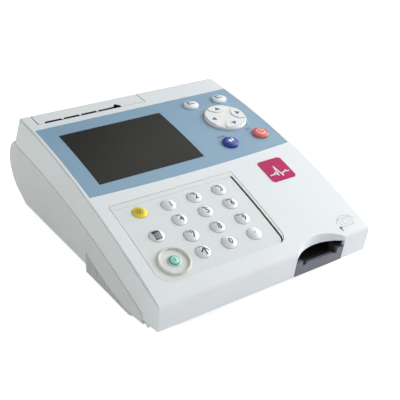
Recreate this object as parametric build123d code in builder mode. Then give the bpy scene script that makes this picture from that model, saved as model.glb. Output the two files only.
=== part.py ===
"""Bench-top cardiac marker reader: a wedge-shaped plastic case with a blue display
panel, a numeric keypad, a thermal printer in the rear bulge and a test cassette port.

Millimetres. +X to the user's right, +Y to the rear, +Z up. The origin is the middle of
the footprint, on the table. Inside this file a "y from the front" counts from the front
face, and at_y() turns it into the model's Y.
"""
from build123d import *
import os
from math import cos, sin, sqrt, radians, asin, pi

os.makedirs("parts", exist_ok=True)

# Case outline, in side view
case_width = 168.0
front_edge_z = 9.8
front_height = 17.5
front_lean = 2.6
front_nose = 0.31
skirt_front_z = 8.5
skirt_rear_z = 7.2
crown_rear_y = 189.0
crown_rear_z = 78.4
crown_sagitta = 8.05
rear_top_radius = 6.0
front_top_radius = 3.0
bulge_y = 195.7
bulge_z = 33.5
bulge_radius = 23.7
notch_back = 7.3
bulge_end_angle = 55.0
bottom_z = 6.2
bottom_rear_y = 194.5
side_edge_radius = 1.2
block_overlap = 12.0

# Seam between the two shells
seam_front_y = 18.6
seam_front_z = 12.1
seam_mid_y = 94.7
seam_mid_z = 36.9
seam_rear_y = 199.3
seam_rear_z = 53.3
seam_gap = 0.7
lip_height = 2.6
lip_thickness = 1.2

# Walls and general clearances
wall = 2.4
crown_wall = 3.4
fit_gap = 0.3
glue_gap = 0.05
running_gap = 0.08
soft_edge_radius = 2.0
small_edge_radius = 0.4

# Ribbed plinth under the front half
plinth_front_y = 32.0
plinth_flat_y = 36.0
plinth_rear_y = 93.0
plinth_z = 0.8
plinth_top_z = 17.8
plinth_mid_z = 7.3
chin_z = 3.9
rib_pitch = 2.2
rib_width = 1.1
rib_depth = 0.9

# Blue display panel and its window
fascia_margin = 3.0
fascia_front_y = 86.4
fascia_rear_y = 167.6
fascia_bow = 2.3
fascia_sink = 0.2
fascia_thickness = 1.4
window_width = 82.1
window_height = 60.4
window_x = -28.4
window_y = 125.2
lens_overlap = 3.0
lens_thickness = 1.4
lens_sink = 0.5
lens_gap = 0.15
lcd_width = 92.0
lcd_height = 74.0
lcd_thickness = 6.0
lcd_depth = 5.6
lcd_edge_radius = 0.3
lcd_glass_sink = 0.6

# Keypad
keypad_left = -74.5
keypad_right = 20.7
keypad_front_y = 11.2
keypad_rear_y = 75.0
keypad_left_radius = 10.0
keypad_right_radius = 7.0
keypad_back_radius = 0.8
panel_sink = 0.6
panel_gap = 0.4
rim_width = 2.0
rim_sink = 0.1
shadow_gap = 1.3
shadow_gap_depth = 2.2
panel_flange = 3.0
panel_flange_thickness = 1.5
ring_radius = 10.6
ring_width = 1.6
ring_height = 1.2

# Keys: columns, rows, cap and travel
key_columns = (-37.2, -17.4, 2.4)
key_rows = (63.0, 49.8, 36.3, 23.4)
side_column = -57.9
side_rows = (63.9, 43.6, 23.8)
key_radius = 5.0
power_key_radius = 4.3
key_rise = 1.7
key_edge_rise = 0.3
key_hole_gap = 0.2
key_flange = 1.1
key_flange_thickness = 1.0
key_stem_radius = 1.8
key_stem_length = 1.2
key_travel = 0.7
switch_radius = 2.4
switch_gap = 0.3
board_thickness = 1.6
board_corner = 2.0
keypad_board_depth = 12.5
keypad_board_margin = 9.0

# Controls on the blue panel
soft_keys = ((40.9, 154.4), (67.0, 154.1))
action_keys = ((39.5, 100.8), (68.0, 102.3))
soft_radius = 5.8
action_radius = 6.0
control_rise = 2.3
control_edge_rise = 1.1
nav_x = 54.8
nav_y = 128.8
nav_radius = 16.3
nav_gap = 0.5
nav_rise = 1.6
nav_depth = 1.2
nav_edge_radius = 1.0
lobe_reach = 14.0
lobe_radius = 7.6
lobe_rise = 0.6
nav_ball_radius = 2.2
nav_ball_depth = 5.4
board_post_radius = 2.0
board_post_grip = 1.0
control_post_x = 20.5
control_post_y = 14.0
lcd_post_radius = 1.2
lcd_post_inset = 1.3
control_board_depth = 13.0
control_board_width = 46.0
control_board_length = 63.0

# Printer in the rear bulge
cover_left = -75.0
cover_right = 11.7
cover_front_y = 175.0
cover_edge_z = 57.0
cover_gap = 0.7
slot_left = -70.1
slot_right = -8.4
slot_width = 2.1
slot_bridges = 3
bridge_width = 1.6
bridge_pitch = 14.0
bridge_gap = 0.4
finger_notch_width = 6.0
finger_notch_angle = 50.0
hinge_y = 199.6
hinge_z = 57.6
hinge_knuckle_radius = 2.5
hinge_pin_radius = 1.25
hinge_ear_width = 7.0
hinge_ear_inset = 11.0
hinge_relief = 1.1
hinge_ear_points = (
    (198.2, 55.6),
    (203.4, 52.8),
    (207.5, 50.7),
    (208.5, 51.9),
    (203.8, 55.2),
    (201.7, 58.9),
)
paper_width = 57.5
paper_radius = 19.0
core_radius = 6.0
frame_gap = 1.6
frame_plate = 1.5
platen_y = 181.0
platen_z = 66.0
platen_radius = 5.0
platen_shaft_radius = 2.5
platen_end = 1.0
head_thickness = 2.2
head_height = 11.0
head_gap = 0.4
frame_front_y = 170.0
frame_top_z = 72.0
frame_foot_y = 182.0
frame_foot_length = 11.0
frame_reach = 7.0
spindle_ear = 7.0
bracket_gap = 0.8
shaft_depth = 4.0
knuckle_width = 5.0
knuckle_gap = 0.4
ear_notch = 4.0
pin_inset = 2.0
gear_module = 0.5
platen_teeth = 24
pinion_teeth = 10
gear_width = 3.0
gear_backlash = 0.16
tooth_slope = 0.36
tooth_root_share = 1.25
motor_radius = 7.5
motor_length = 12.0
motor_shaft_radius = 1.0

# Test cassette port at the front right
port_x = 40.7
port_width = 41.6
port_arch = 7.8
port_ceiling_z = 24.0
scoop_thickness = 2.0
tray_lip_z = 17.2
tray_cheek_z = 19.8
tray_cheek = 5.5
tray_slot = 2.6
tray_depth = 9.6
tray_front = 3.4
tray_slot_z = 16.0
guide_width = 36.0
guide_wall = 1.6
guide_floor_z = 14.4
guide_rear_y = 74.5
carriage_width = 30.0
carriage_length = 20.0
carriage_floor = 1.5
carriage_side_height = 3.5
carriage_y = 44.0
carriage_travel = 18.0
screw_radius = 1.5
screw_z = 9.4
screw_front_y = 22.0
screw_bearing = 2.0
nut_radius = 2.8
nut_length = 8.0
post_width = 3.2
carriage_motor_y = 78.0
carriage_motor_length = 11.5
motor_bore_depth = 4.0
optics_y = 58.0
optics_length = 24.0
optics_width = 34.0
optics_height = 13.0
snout_radius = 3.5
snout_length = 2.4

# Power: cells in the plinth, and the door under them
cell_radius = 7.25
cell_length = 50.5
cell_count = 4
cell_pitch = 14.9
cells_x = -38.0
cells_y = 62.9
cell_lift = 0.6
bay_wall_inset = 3.0
door_margin = 1.2
door_thickness = 2.0
door_tongue = 1.2
door_tongue_thickness = 0.9
door_gap = 0.3
contact_thickness = 0.4
contact_size = 10.0
cell_cap_length = 1.2
cell_cap_radius = 2.75
door_tongue_low = 0.8
door_grip_inset = 8.0
door_grip_count = 3
door_grip_length = 24.0

# Lot code chip under the front left corner
chip_x = -51.5
chip_width = 22.0
chip_length = 14.0
chip_thickness = 3.2
chip_z = 4.7
chip_front_y = 8.5
chip_socket_wall = 1.6
chip_socket_front_y = 10.5
chip_socket_z = 3.2

# Boards and connectors
main_board_z = 16.5
main_board_width = 139.0
main_board_front_y = 98.0
main_board_rear_y = 168.0
board_part_height = 4.0
board_parts = (
    (-30.0, 22.0, 26.0, 26.0),
    (8.0, 18.0, 14.0, 18.0),
    (36.0, 30.0, 22.0, 12.0),
    (-4.0, 50.0, 40.0, 8.0),
)
jack_x = 46.5
jack_width = 9.0
jack_height = 11.0
jack_length = 14.0
jack_bore = 3.2
jack_pin_radius = 1.0
jack_rear_step = 2.0
serial_x = 23.0
serial_width = 30.0
serial_height = 12.5
serial_depth = 9.0
serial_flange = 1.0
serial_shell_width = 16.9
serial_shell_height = 8.3
serial_shell_reach = 5.5
serial_shell_slant = 80.0
serial_shell_wall = 0.8
recess_left = 4.5
recess_right = 60.5
recess_z = 25.0
recess_height = 21.0
recess_y = 209.0

# Fixings, feet and labels
boss_radius = 3.8
boss_split_z = 20.0
front_boss = (76.0, 84.0)
rear_boss = (75.5, 168.0)
screw_shank_radius = 1.4
screw_head_radius = 2.6
screw_head_height = 1.8
screw_head_sink = 0.4
screw_bite = 8.0
standoff_radius = 3.0
standoff_pin_radius = 1.3
standoff_pin_height = 3.0
standoff_front = (65.5, 104.0)
standoff_rear = (65.5, 162.0)
toe_front_y = 13.5
toe_front_z = 5.0
toe_middle_y = 17.5
toe_z = 1.4
toe_width = 8.0
front_foot = (73.5, 44.0)
rear_foot = (61.5, 172.0)
front_foot_radius = 5.0
rear_foot_radius = 7.0
foot_recess = 0.8
label_size = 20.6
label_x = 53.4
label_y = 64.6
label_radius = 2.5
label_thickness = 0.2

# Values worked out from the ones above
half_width = case_width / 2
bulge_end = bulge_y + bulge_radius
case_depth = bulge_end
front_top_z = front_edge_z + front_height
notch_y = bulge_y + notch_back
notch_z = bulge_z + sqrt(bulge_radius**2 - notch_back**2)
chord = sqrt(crown_rear_y**2 + (crown_rear_z - front_top_z) ** 2)
crown_radius = (chord**2 / 4 + crown_sagitta**2) / (2 * crown_sagitta)
centre_drop = crown_radius - crown_sagitta
crown_centre_y = crown_rear_y / 2 + centre_drop * (crown_rear_z - front_top_z) / chord
crown_centre_z = (crown_rear_z + front_top_z) / 2 - centre_drop * crown_rear_y / chord
far = 3 * case_width
chip_socket_width = chip_width + 2 * chip_socket_wall + 2 * fit_gap
chip_socket_length = chip_front_y + chip_length + chip_socket_wall - chip_socket_front_y
inner_half = half_width - wall
fascia_bottom = fascia_sink + fascia_thickness
lens_top = fascia_bottom + glue_gap
panel_flange_top = crown_wall + glue_gap
panel_bottom = panel_flange_top + panel_flange_thickness
key_flange_top = panel_bottom + glue_gap
switch_depth = key_flange_top + key_flange_thickness + key_stem_length + key_travel + switch_gap
control_flange_top = crown_wall + glue_gap
control_switch_depth = switch_depth - key_flange_top + control_flange_top
nav_switch_depth = nav_depth + key_travel + switch_gap
door_left = cells_x - cell_count * cell_pitch / 2 + door_margin
door_right = cells_x + cell_count * cell_pitch / 2 - door_margin
door_middle_x = (door_left + door_right) / 2
door_front_y = cells_y - cell_length / 2 - contact_thickness + door_gap
bay_front_y = cells_y - cell_length / 2 - contact_thickness - glue_gap
bay_rear_y = cells_y + cell_length / 2 + contact_thickness + glue_gap
bay_half = cell_count * cell_pitch / 2
cell_z = plinth_z + wall + cell_lift + cell_radius
rib_count = int((plinth_rear_y - plinth_flat_y) / rib_pitch)
cover_middle_x = (cover_left + cover_right) / 2
knuckle_step = (hinge_ear_width + knuckle_width) / 2 + knuckle_gap
slot_middle = (slot_left + slot_right) / 2
slot_length = slot_right - slot_left
bridge_middle = slot_left + bridge_pitch * (slot_bridges + 1) / 2
frame_inner = paper_width / 2 + frame_gap
frame_outer = frame_inner + frame_plate
frame_foot_z = bottom_z + wall + glue_gap
gear_start = slot_middle + frame_outer + fit_gap
gear_end = gear_start + gear_width
bracket_start = gear_end + bracket_gap
motor_start = bracket_start + frame_plate + glue_gap
pinion_z = platen_z - gear_module * (platen_teeth + pinion_teeth) / 2
head_middle_y = platen_y - platen_radius - head_gap - head_thickness / 2
tray_half = port_width / 2 - fit_gap
lip_half = tray_half - tray_cheek - tray_slot
lip_slope = tray_lip_z - tray_slot_z
guide_front_y = port_arch + scoop_thickness + fit_gap
guide_outer = guide_width + 2 * guide_wall
guide_length = guide_rear_y - guide_front_y
chin_slope = (chin_z - plinth_z) / 2 / (plinth_front_y - seam_front_y - seam_gap)
chin_floor_z = chin_z - chin_slope * (screw_front_y - seam_front_y) + wall
carriage_z = guide_floor_z + fit_gap
carriage_motor_radius = screw_z - plinth_z - wall - glue_gap
optics_z = port_ceiling_z + guide_wall + glue_gap


def at_y(y):
    """Model Y of a distance from the front face."""
    return y - case_depth / 2


def crown_z(y, depth=0.0):
    """Height of the curved top, or of the surface a depth under it."""
    return crown_centre_z + sqrt((crown_radius - depth) ** 2 - (y - crown_centre_y) ** 2)


def crown_plane(x, y, depth=0.0):
    """Plane that lies on the curved top at x and y, or a depth under it."""
    normal_y = (y - crown_centre_y) / crown_radius
    normal_z = (crown_z(y) - crown_centre_z) / crown_radius
    origin = (x, at_y(y) - depth * normal_y, crown_z(y) - depth * normal_z)
    return Plane(origin=origin, x_dir=(1, 0, 0), z_dir=(0, normal_y, normal_z))


def turned(plane):
    """The plane through a plane's normal: local x across, local y along the normal."""
    return Plane(origin=plane.origin, x_dir=plane.x_dir, z_dir=-plane.y_dir)


def side_polyline(*points):
    """Straight runs in side view, through (y from the front, z) points."""
    return Polyline(*[(at_y(y), z) for y, z in points])


def crown_strip(front, rear, top, bottom):
    """Curved strip in side view, between two depths under the crown."""
    middle = (front + rear) / 2
    with BuildSketch(Plane.YZ) as strip:
        with BuildLine():
            upper = ThreePointArc(
                (at_y(front), crown_z(front, top)),
                (at_y(middle), crown_z(middle, top)),
                (at_y(rear), crown_z(rear, top)),
            )
            lower = ThreePointArc(
                (at_y(front), crown_z(front, bottom)),
                (at_y(middle), crown_z(middle, bottom)),
                (at_y(rear), crown_z(rear, bottom)),
            )
            Line(upper @ 0, lower @ 0)
            Line(upper @ 1, lower @ 1)
        make_face()
    return strip.sketch


def body_outline(inset=0.0):
    """Whole case in side view, plinth included, or the same drawn in by a wall."""
    end_y = bulge_y + bulge_radius * cos(radians(bulge_end_angle))
    end_z = bulge_z - bulge_radius * sin(radians(bulge_end_angle))
    middle = crown_rear_y / 2
    with BuildSketch(Plane.YZ) as outline:
        with BuildLine():
            side_polyline((front_lean, front_edge_z), (-front_nose, crown_z(-front_nose)))
            ThreePointArc(
                (at_y(-front_nose), crown_z(-front_nose)),
                (at_y(middle), crown_z(middle)),
                (at_y(crown_rear_y), crown_rear_z),
            )
            side_polyline((crown_rear_y, crown_rear_z), (notch_y, notch_z))
            ThreePointArc(
                (at_y(notch_y), notch_z),
                (at_y(bulge_end), bulge_z),
                (at_y(end_y), end_z),
            )
            side_polyline(
                (end_y, end_z),
                (bottom_rear_y, bottom_z),
                (plinth_rear_y, bottom_z),
                (plinth_rear_y, plinth_z),
                (plinth_flat_y, plinth_z),
                (plinth_front_y, (plinth_z + chin_z) / 2),
                (seam_front_y + seam_gap, chin_z),
                (seam_front_y + seam_gap, front_edge_z),
                (front_lean, front_edge_z),
            )
        make_face()
        rear_top = outline.vertices().sort_by(Axis.Y)[-1]
        front_top = outline.vertices().group_by(Axis.X)[0].sort_by(Axis.Y)[-1]
        fillet(front_top, front_top_radius)
        fillet(rear_top, rear_top_radius)
        if inset:
            offset(amount=-inset, kind=Kind.INTERSECTION)
    return outline.sketch


def above_seam(drop):
    """Side view of everything above the seam, with the seam line dropped a little."""
    with BuildSketch(Plane.YZ) as region:
        with BuildLine():
            seam = ThreePointArc(
                (at_y(seam_front_y + drop), seam_front_z - drop),
                (at_y(seam_mid_y), seam_mid_z - drop),
                (at_y(seam_rear_y), seam_rear_z - drop),
            )
            Polyline(
                seam @ 1,
                (at_y(notch_y + drop), notch_z - drop),
                (at_y(far), notch_z),
                (at_y(far), far),
                (at_y(-far), far),
                (at_y(-far), -far),
                (at_y(seam_front_y + drop), -far),
                seam @ 0,
            )
        make_face()
    return region.sketch


def plinth_region(gap):
    """Side view of the plinth's wedge, with a clearance round it."""
    front_z = (plinth_z + chin_z) / 2
    middle = (plinth_front_y + plinth_rear_y) / 2
    with BuildSketch(Plane.YZ) as region:
        with BuildLine():
            top = ThreePointArc(
                (at_y(plinth_front_y - gap), front_z + gap),
                (at_y(middle), plinth_mid_z + gap),
                (at_y(plinth_rear_y + gap), plinth_top_z + gap),
            )
            Polyline(
                top @ 1,
                (at_y(plinth_rear_y + gap), -wall),
                (at_y(plinth_front_y - gap), -wall),
                top @ 0,
            )
        make_face()
    return region.sketch


def keypad_outline(grow):
    """Keypad opening in plan, grown by a margin, soft at its two front corners."""
    with BuildSketch(Plane.XY.offset(front_edge_z)) as outline:
        middle_y = at_y((keypad_front_y + keypad_rear_y) / 2)
        with Locations(((keypad_left + keypad_right) / 2, middle_y)):
            Rectangle(
                keypad_right - keypad_left + 2 * grow,
                keypad_rear_y - keypad_front_y + 2 * grow,
            )
        fillet(outline.vertices().group_by(Axis.Y)[-1], keypad_back_radius + max(grow, 0))
        corner = outline.vertices().group_by(Axis.Y)[0].sort_by(Axis.X)[0]
        fillet(corner, keypad_left_radius + grow)
        corner = outline.vertices().group_by(Axis.Y)[0].sort_by(Axis.X)[-1]
        fillet(corner, keypad_right_radius + grow)
    return outline.sketch


def fascia_outline(grow):
    """Blue panel in plan: straight at the rear and sides, bowed towards the user."""
    side = half_width - fascia_margin + grow
    with BuildSketch(Plane.XY.offset(front_edge_z)) as outline:
        with BuildLine():
            front = ThreePointArc(
                (-side, at_y(fascia_front_y - grow)),
                (0, at_y(fascia_front_y - fascia_bow - grow)),
                (side, at_y(fascia_front_y - grow)),
            )
            Polyline(
                front @ 1,
                (side, at_y(fascia_rear_y + grow)),
                (-side, at_y(fascia_rear_y + grow)),
                front @ 0,
            )
        make_face()
    return outline.sketch


def window_outline(grow):
    """Display window in plan, grown by a margin."""
    with BuildSketch(Plane.XY.offset(front_edge_z)) as outline:
        with Locations((window_x, at_y(window_y))):
            Rectangle(window_width + 2 * grow, window_height + 2 * grow)
    return outline.sketch


def cover_region(gap, z):
    """Plan of the printer cover at a height, with a clearance round it."""
    with BuildSketch(Plane.XY.offset(z)) as region:
        with Locations((cover_middle_x, at_y((cover_front_y + bulge_end) / 2))):
            Rectangle(cover_right - cover_left + 2 * gap, bulge_end - cover_front_y + 2 * gap)
    return region.sketch


def save(piece, name):
    """Label a finished piece and write its file."""
    piece.part.label = name
    export_step(piece.part, f"parts/{name}.step")


# Upper block: front wall, crown and rear wall, carried down past the seam
with BuildPart() as upper_block:
    with BuildSketch(Plane.YZ) as upper_side:
        with BuildLine():
            side_polyline((front_lean, skirt_front_z), (-front_nose, crown_z(-front_nose)))
            ThreePointArc(
                (at_y(-front_nose), crown_z(-front_nose)),
                (at_y(crown_rear_y / 2), crown_z(crown_rear_y / 2)),
                (at_y(crown_rear_y), crown_rear_z),
            )
            side_polyline(
                (crown_rear_y, crown_rear_z),
                (notch_y, notch_z),
                (notch_y - notch_back, notch_z - bulge_radius),
                (seam_front_y + seam_gap, front_edge_z),
                (seam_front_y + seam_gap, skirt_rear_z),
                (front_lean, skirt_front_z),
            )
        make_face()
        front_top = upper_side.vertices().group_by(Axis.X)[0].sort_by(Axis.Y)[-1]
        rear_top = upper_side.vertices().sort_by(Axis.Y)[-1]
        fillet(front_top, front_top_radius)
        fillet(rear_top, rear_top_radius)
    extrude(amount=half_width, both=True)
    fillet(upper_block.faces().filter_by(Axis.X).edges(), side_edge_radius)

# Lower block: the rear half with its round bulge, and the chin under the front half
with BuildPart() as lower_block:
    with BuildSketch(Plane.YZ) as rear_side:
        end_y = bulge_y + bulge_radius * cos(radians(bulge_end_angle))
        end_z = bulge_z - bulge_radius * sin(radians(bulge_end_angle))
        with BuildLine():
            ThreePointArc(
                (at_y(notch_y), notch_z),
                (at_y(bulge_end), bulge_z),
                (at_y(end_y), end_z),
            )
            side_polyline(
                (end_y, end_z),
                (bottom_rear_y, bottom_z),
                (plinth_rear_y - block_overlap, bottom_z),
                (plinth_rear_y - block_overlap, notch_z),
                (notch_y, notch_z),
            )
        make_face()
    extrude(amount=half_width, both=True)
    fillet(lower_block.faces().filter_by(Axis.X).edges(), side_edge_radius)
with BuildPart() as chin_block:
    with BuildSketch(Plane.YZ):
        with BuildLine():
            side_polyline(
                (seam_front_y + seam_gap, chin_z),
                (plinth_front_y, (plinth_z + chin_z) / 2),
                (plinth_rear_y, (plinth_z + chin_z) / 2),
                (plinth_rear_y, notch_z),
                (seam_front_y + seam_gap, notch_z),
                (seam_front_y + seam_gap, chin_z),
            )
        make_face()
    extrude(amount=half_width, both=True)
    fillet(chin_block.faces().filter_by(Axis.X).edges(), side_edge_radius)

# The hollow inside the walls
with BuildPart() as case_hollow:
    extrude(body_outline(wall), amount=half_width - wall, both=True)
    under_crown = crown_strip(-wall, crown_rear_y + wall, -wall, crown_wall)
    extrude(under_crown, amount=half_width, both=True, mode=Mode.SUBTRACT)


# Top half of the case, before the printer cover is cut out of it: its front carries a skirt
# round a shallow room under its floor
with BuildPart() as top_shell:
    add(upper_block)
    extrude(above_seam(0), amount=case_width, both=True, mode=Mode.INTERSECT)
    add(case_hollow, mode=Mode.SUBTRACT)
    with BuildSketch(Plane.XY.offset(front_edge_z)):
        with Locations((0, at_y(seam_front_y))):
            Rectangle(2 * inner_half, 2 * (seam_front_y - front_lean - wall))
    extrude(amount=-front_edge_z, mode=Mode.SUBTRACT)

# Places used by more than one piece
screw_places = [(side * x, at_y(y)) for x, y in (front_boss, rear_boss) for side in (-1, 1)]
standoffs = [(side * x, at_y(y)) for x, y in (standoff_front, standoff_rear) for side in (-1, 1)]
controls = [(x, y, soft_radius) for x, y in soft_keys]
controls += [(x, y, action_radius) for x, y in action_keys]


def port_plan(grow):
    """Finger scoop of the port in plan: an arch from the front face."""
    half = port_width / 2 + grow
    with BuildSketch(Plane.XY.offset(port_ceiling_z)) as plan:
        with BuildLine():
            arch = ThreePointArc(
                (port_x - half, at_y(0)),
                (port_x, at_y(port_arch + grow)),
                (port_x + half, at_y(0)),
            )
            Polyline(
                arch @ 1,
                (port_x + half, at_y(-wall)),
                (port_x - half, at_y(-wall)),
                arch @ 0,
            )
        make_face()
    return plan.sketch


# White wall of the finger scoop over the port
with BuildPart() as scoop_wall:
    extrude(port_plan(scoop_thickness), amount=front_top_z)
    add(upper_block, mode=Mode.INTERSECT)

control_board_plane = crown_plane(nav_x, nav_y, control_board_depth)
lcd_plane = crown_plane(window_x, window_y, lcd_depth)

# Top cover
with BuildPart() as top_cover:
    add(top_shell)
    add(scoop_wall)
    extrude(port_plan(0), amount=front_top_z, mode=Mode.SUBTRACT)
    with BuildSketch(Plane.XY.offset(port_ceiling_z)):
        with Locations((port_x, at_y((tray_depth + fit_gap - wall) / 2))):
            Rectangle(port_width, tray_depth + fit_gap + wall)
    extrude(amount=-front_top_z, mode=Mode.SUBTRACT)
    extrude(cover_region(cover_gap, seam_rear_z - wall), amount=crown_rear_z, mode=Mode.SUBTRACT)
    with BuildSketch(Plane.XY.offset(boss_split_z)):
        with Locations(*screw_places):
            Circle(boss_radius)
    extrude(until=Until.NEXT)
    with BuildSketch(Plane.XY.offset(boss_split_z)):
        with Locations(*screw_places):
            Circle(screw_shank_radius + glue_gap)
    extrude(amount=screw_bite + 1, mode=Mode.SUBTRACT)
    extrude(window_outline(lens_overlap + fit_gap), amount=crown_rear_z, mode=Mode.SUBTRACT)
    extrude(keypad_outline(0), amount=crown_rear_z, mode=Mode.SUBTRACT)
    for x, y, radius in controls:
        with BuildSketch(crown_plane(x, y)):
            Circle(radius + key_hole_gap)
        extrude(amount=2 * crown_wall, both=True, mode=Mode.SUBTRACT)
    with BuildSketch(crown_plane(nav_x, nav_y)):
        Circle(nav_radius + nav_gap)
    extrude(amount=2 * crown_wall, both=True, mode=Mode.SUBTRACT)

# Shallow pocket that takes the blue panel
with BuildPart() as fascia_pocket:
    pocket_side = crown_strip(
        fascia_front_y - 2 * fascia_bow, fascia_rear_y + 2 * fit_gap, -wall, lens_top
    )
    extrude(pocket_side, amount=half_width, both=True)
    extrude(fascia_outline(fit_gap), amount=2 * crown_rear_z, mode=Mode.INTERSECT)

with BuildPart() as finished_top:
    add(top_cover)
    with BuildSketch(control_board_plane):
        with GridLocations(2 * control_post_x, 2 * control_post_y, 2, 2):
            Circle(board_post_radius)
    extrude(amount=control_board_depth - crown_wall + board_post_grip)
    with BuildSketch(lcd_plane):
        with GridLocations(lcd_width - 2 * lcd_post_inset, lcd_height - 2 * lcd_post_inset, 2, 2):
            Circle(lcd_post_radius)
    extrude(amount=lcd_depth - crown_wall + board_post_grip)
    add(fascia_pocket, mode=Mode.SUBTRACT)
save(finished_top, "top_cover")

# Blue display panel
with BuildPart() as display_fascia:
    fascia_side = crown_strip(
        fascia_front_y - 2 * fascia_bow, fascia_rear_y + wall, fascia_sink, fascia_bottom
    )
    extrude(fascia_side, amount=half_width, both=True)
    extrude(fascia_outline(0), amount=2 * crown_rear_z, mode=Mode.INTERSECT)
    extrude(window_outline(0), amount=crown_rear_z, mode=Mode.SUBTRACT)
    for x, y, radius in controls:
        with BuildSketch(crown_plane(x, y)):
            Circle(radius + key_hole_gap)
        extrude(amount=2 * crown_wall, both=True, mode=Mode.SUBTRACT)
    with BuildSketch(crown_plane(nav_x, nav_y)):
        Circle(nav_radius + nav_gap)
    extrude(amount=2 * crown_wall, both=True, mode=Mode.SUBTRACT)
save(display_fascia, "display_fascia")

# Dark lens behind the window, with a raised pane that fills it
lens_half = window_height / 2 + 2 * lens_overlap
with BuildPart() as lens_pane:
    pane_side = crown_strip(window_y - lens_half, window_y + lens_half, lens_sink, lens_top)
    extrude(pane_side, amount=half_width, both=True)
    extrude(window_outline(-lens_gap), amount=crown_rear_z, mode=Mode.INTERSECT)
with BuildPart() as display_lens:
    lens_side = crown_strip(
        window_y - lens_half, window_y + lens_half, lens_top, lens_top + lens_thickness
    )
    extrude(lens_side, amount=half_width, both=True)
    extrude(window_outline(lens_overlap), amount=crown_rear_z, mode=Mode.INTERSECT)
    add(lens_pane)
save(display_lens, "display_lens")

# Display module: a metal-framed glass block under the lens
with BuildPart() as lcd_module:
    with BuildSketch(lcd_plane):
        Rectangle(lcd_width, lcd_height)
    extrude(amount=-lcd_thickness)
    fillet(lcd_module.edges().group_by(Axis.Z)[-1], lcd_edge_radius)
    with BuildSketch(lcd_plane):
        Rectangle(window_width, window_height)
    extrude(amount=-lcd_glass_sink, mode=Mode.SUBTRACT)
save(lcd_module, "lcd_module")

# Keys by name and place
key_places = [(f"key_{1 + column + 3 * row}", x, y)
              for row, y in enumerate(key_rows[:3])
              for column, x in enumerate(key_columns)]
key_places += [
    ("key_shift", key_columns[0], key_rows[3]),
    ("key_0", key_columns[1], key_rows[3]),
    ("key_point", key_columns[2], key_rows[3]),
    ("key_light", side_column, side_rows[0]),
    ("key_print", side_column, side_rows[1]),
    ("key_power", side_column, side_rows[2]),
]
key_x = [x for name, x, y in key_places]
key_y = [y for name, x, y in key_places]
keypad_board_plane = crown_plane(
    (min(key_x) + max(key_x)) / 2, (min(key_y) + max(key_y)) / 2, keypad_board_depth
)
keypad_posts = [
    keypad_board_plane.to_local_coords(crown_plane(x, y, keypad_board_depth).origin)
    for x in ((side_column + key_columns[0]) / 2, (key_columns[1] + key_columns[2]) / 2)
    for y in (key_rows[0], key_rows[3])
]


def cap_radius(name):
    """Radius of a keypad key's cap: the power key is a little smaller than the others."""
    return power_key_radius if name == "key_power" else key_radius


def panel_floor(low, shift):
    """Room over the keypad's floor, down to a depth, moved sideways by a shift."""
    with BuildPart() as room:
        room_side = crown_strip(0, keypad_rear_y + keypad_front_y, -wall, low)
        extrude(room_side, amount=half_width, both=True)
        extrude(
            Location((shift, -rim_width, 0)) * keypad_outline(-rim_width),
            amount=crown_rear_z,
            mode=Mode.INTERSECT,
        )
    return room.part


# Keypad panel: a plate that fills the opening, with a rim at the sides and the rear, a
# shadow gap along the right of its floor, and a flange under the cover
with BuildPart() as right_gap:
    add(panel_floor(shadow_gap_depth, 0))
    add(panel_floor(panel_bottom, -shadow_gap), mode=Mode.SUBTRACT)
with BuildPart() as panel_plate:
    plate_side = crown_strip(0, keypad_rear_y + keypad_front_y, rim_sink, panel_bottom)
    extrude(plate_side, amount=half_width, both=True)
    extrude(keypad_outline(-panel_gap), amount=crown_rear_z, mode=Mode.INTERSECT)
    add(panel_floor(panel_sink, 0), mode=Mode.SUBTRACT)
    add(right_gap, mode=Mode.SUBTRACT)
with BuildPart() as power_ring:
    with BuildSketch(crown_plane(side_column, side_rows[2], panel_sink)):
        Circle(ring_radius)
        Circle(ring_radius - ring_width, mode=Mode.SUBTRACT)
    extrude(amount=ring_height)
    fillet(power_ring.faces().sort_by(Axis.Z)[-1].edges(), ring_width / 3)
with BuildPart() as keypad_panel:
    flange_side = crown_strip(
        wall, keypad_rear_y + keypad_front_y, panel_flange_top, panel_bottom
    )
    extrude(flange_side, amount=half_width, both=True)
    extrude(keypad_outline(panel_flange), amount=crown_rear_z, mode=Mode.INTERSECT)
    add(panel_plate)
    add(power_ring)
    with BuildSketch(crown_plane(side_column, side_rows[2], panel_sink)):
        Circle(ring_radius)
        Circle(ring_radius - ring_width, mode=Mode.SUBTRACT)
    extrude(amount=-panel_sink)
    for name, x, y in key_places:
        with BuildSketch(crown_plane(x, y)):
            Circle(cap_radius(name) + key_hole_gap)
        extrude(amount=2 * panel_bottom, both=True, mode=Mode.SUBTRACT)
    with BuildSketch(keypad_board_plane):
        with Locations(*[(post.X, post.Y) for post in keypad_posts]):
            Circle(board_post_radius)
    extrude(amount=keypad_board_depth - panel_bottom + board_post_grip)
save(keypad_panel, "keypad_panel")


def push_button(plane, radius, apex, edge, flange_top):
    """Domed cap on a plane, with a retaining flange and a short stem under it."""
    rise = apex - edge
    dome = (radius**2 + rise**2) / (2 * rise)
    half_turn = asin(radius / dome) / 2
    stem_bottom = -flange_top - key_flange_thickness - key_stem_length
    with BuildPart() as button:
        with BuildSketch(turned(plane)):
            with BuildLine():
                ThreePointArc(
                    (0, apex),
                    (dome * sin(half_turn), apex - dome * (1 - cos(half_turn))),
                    (radius, edge),
                )
                Polyline(
                    (radius, edge),
                    (radius, -flange_top),
                    (radius + key_flange, -flange_top),
                    (radius + key_flange, -flange_top - key_flange_thickness),
                    (key_stem_radius, -flange_top - key_flange_thickness),
                    (key_stem_radius, stem_bottom),
                    (0, stem_bottom),
                    (0, apex),
                )
            make_face()
        revolve(axis=Axis(plane.origin, plane.z_dir))
    return button


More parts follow.
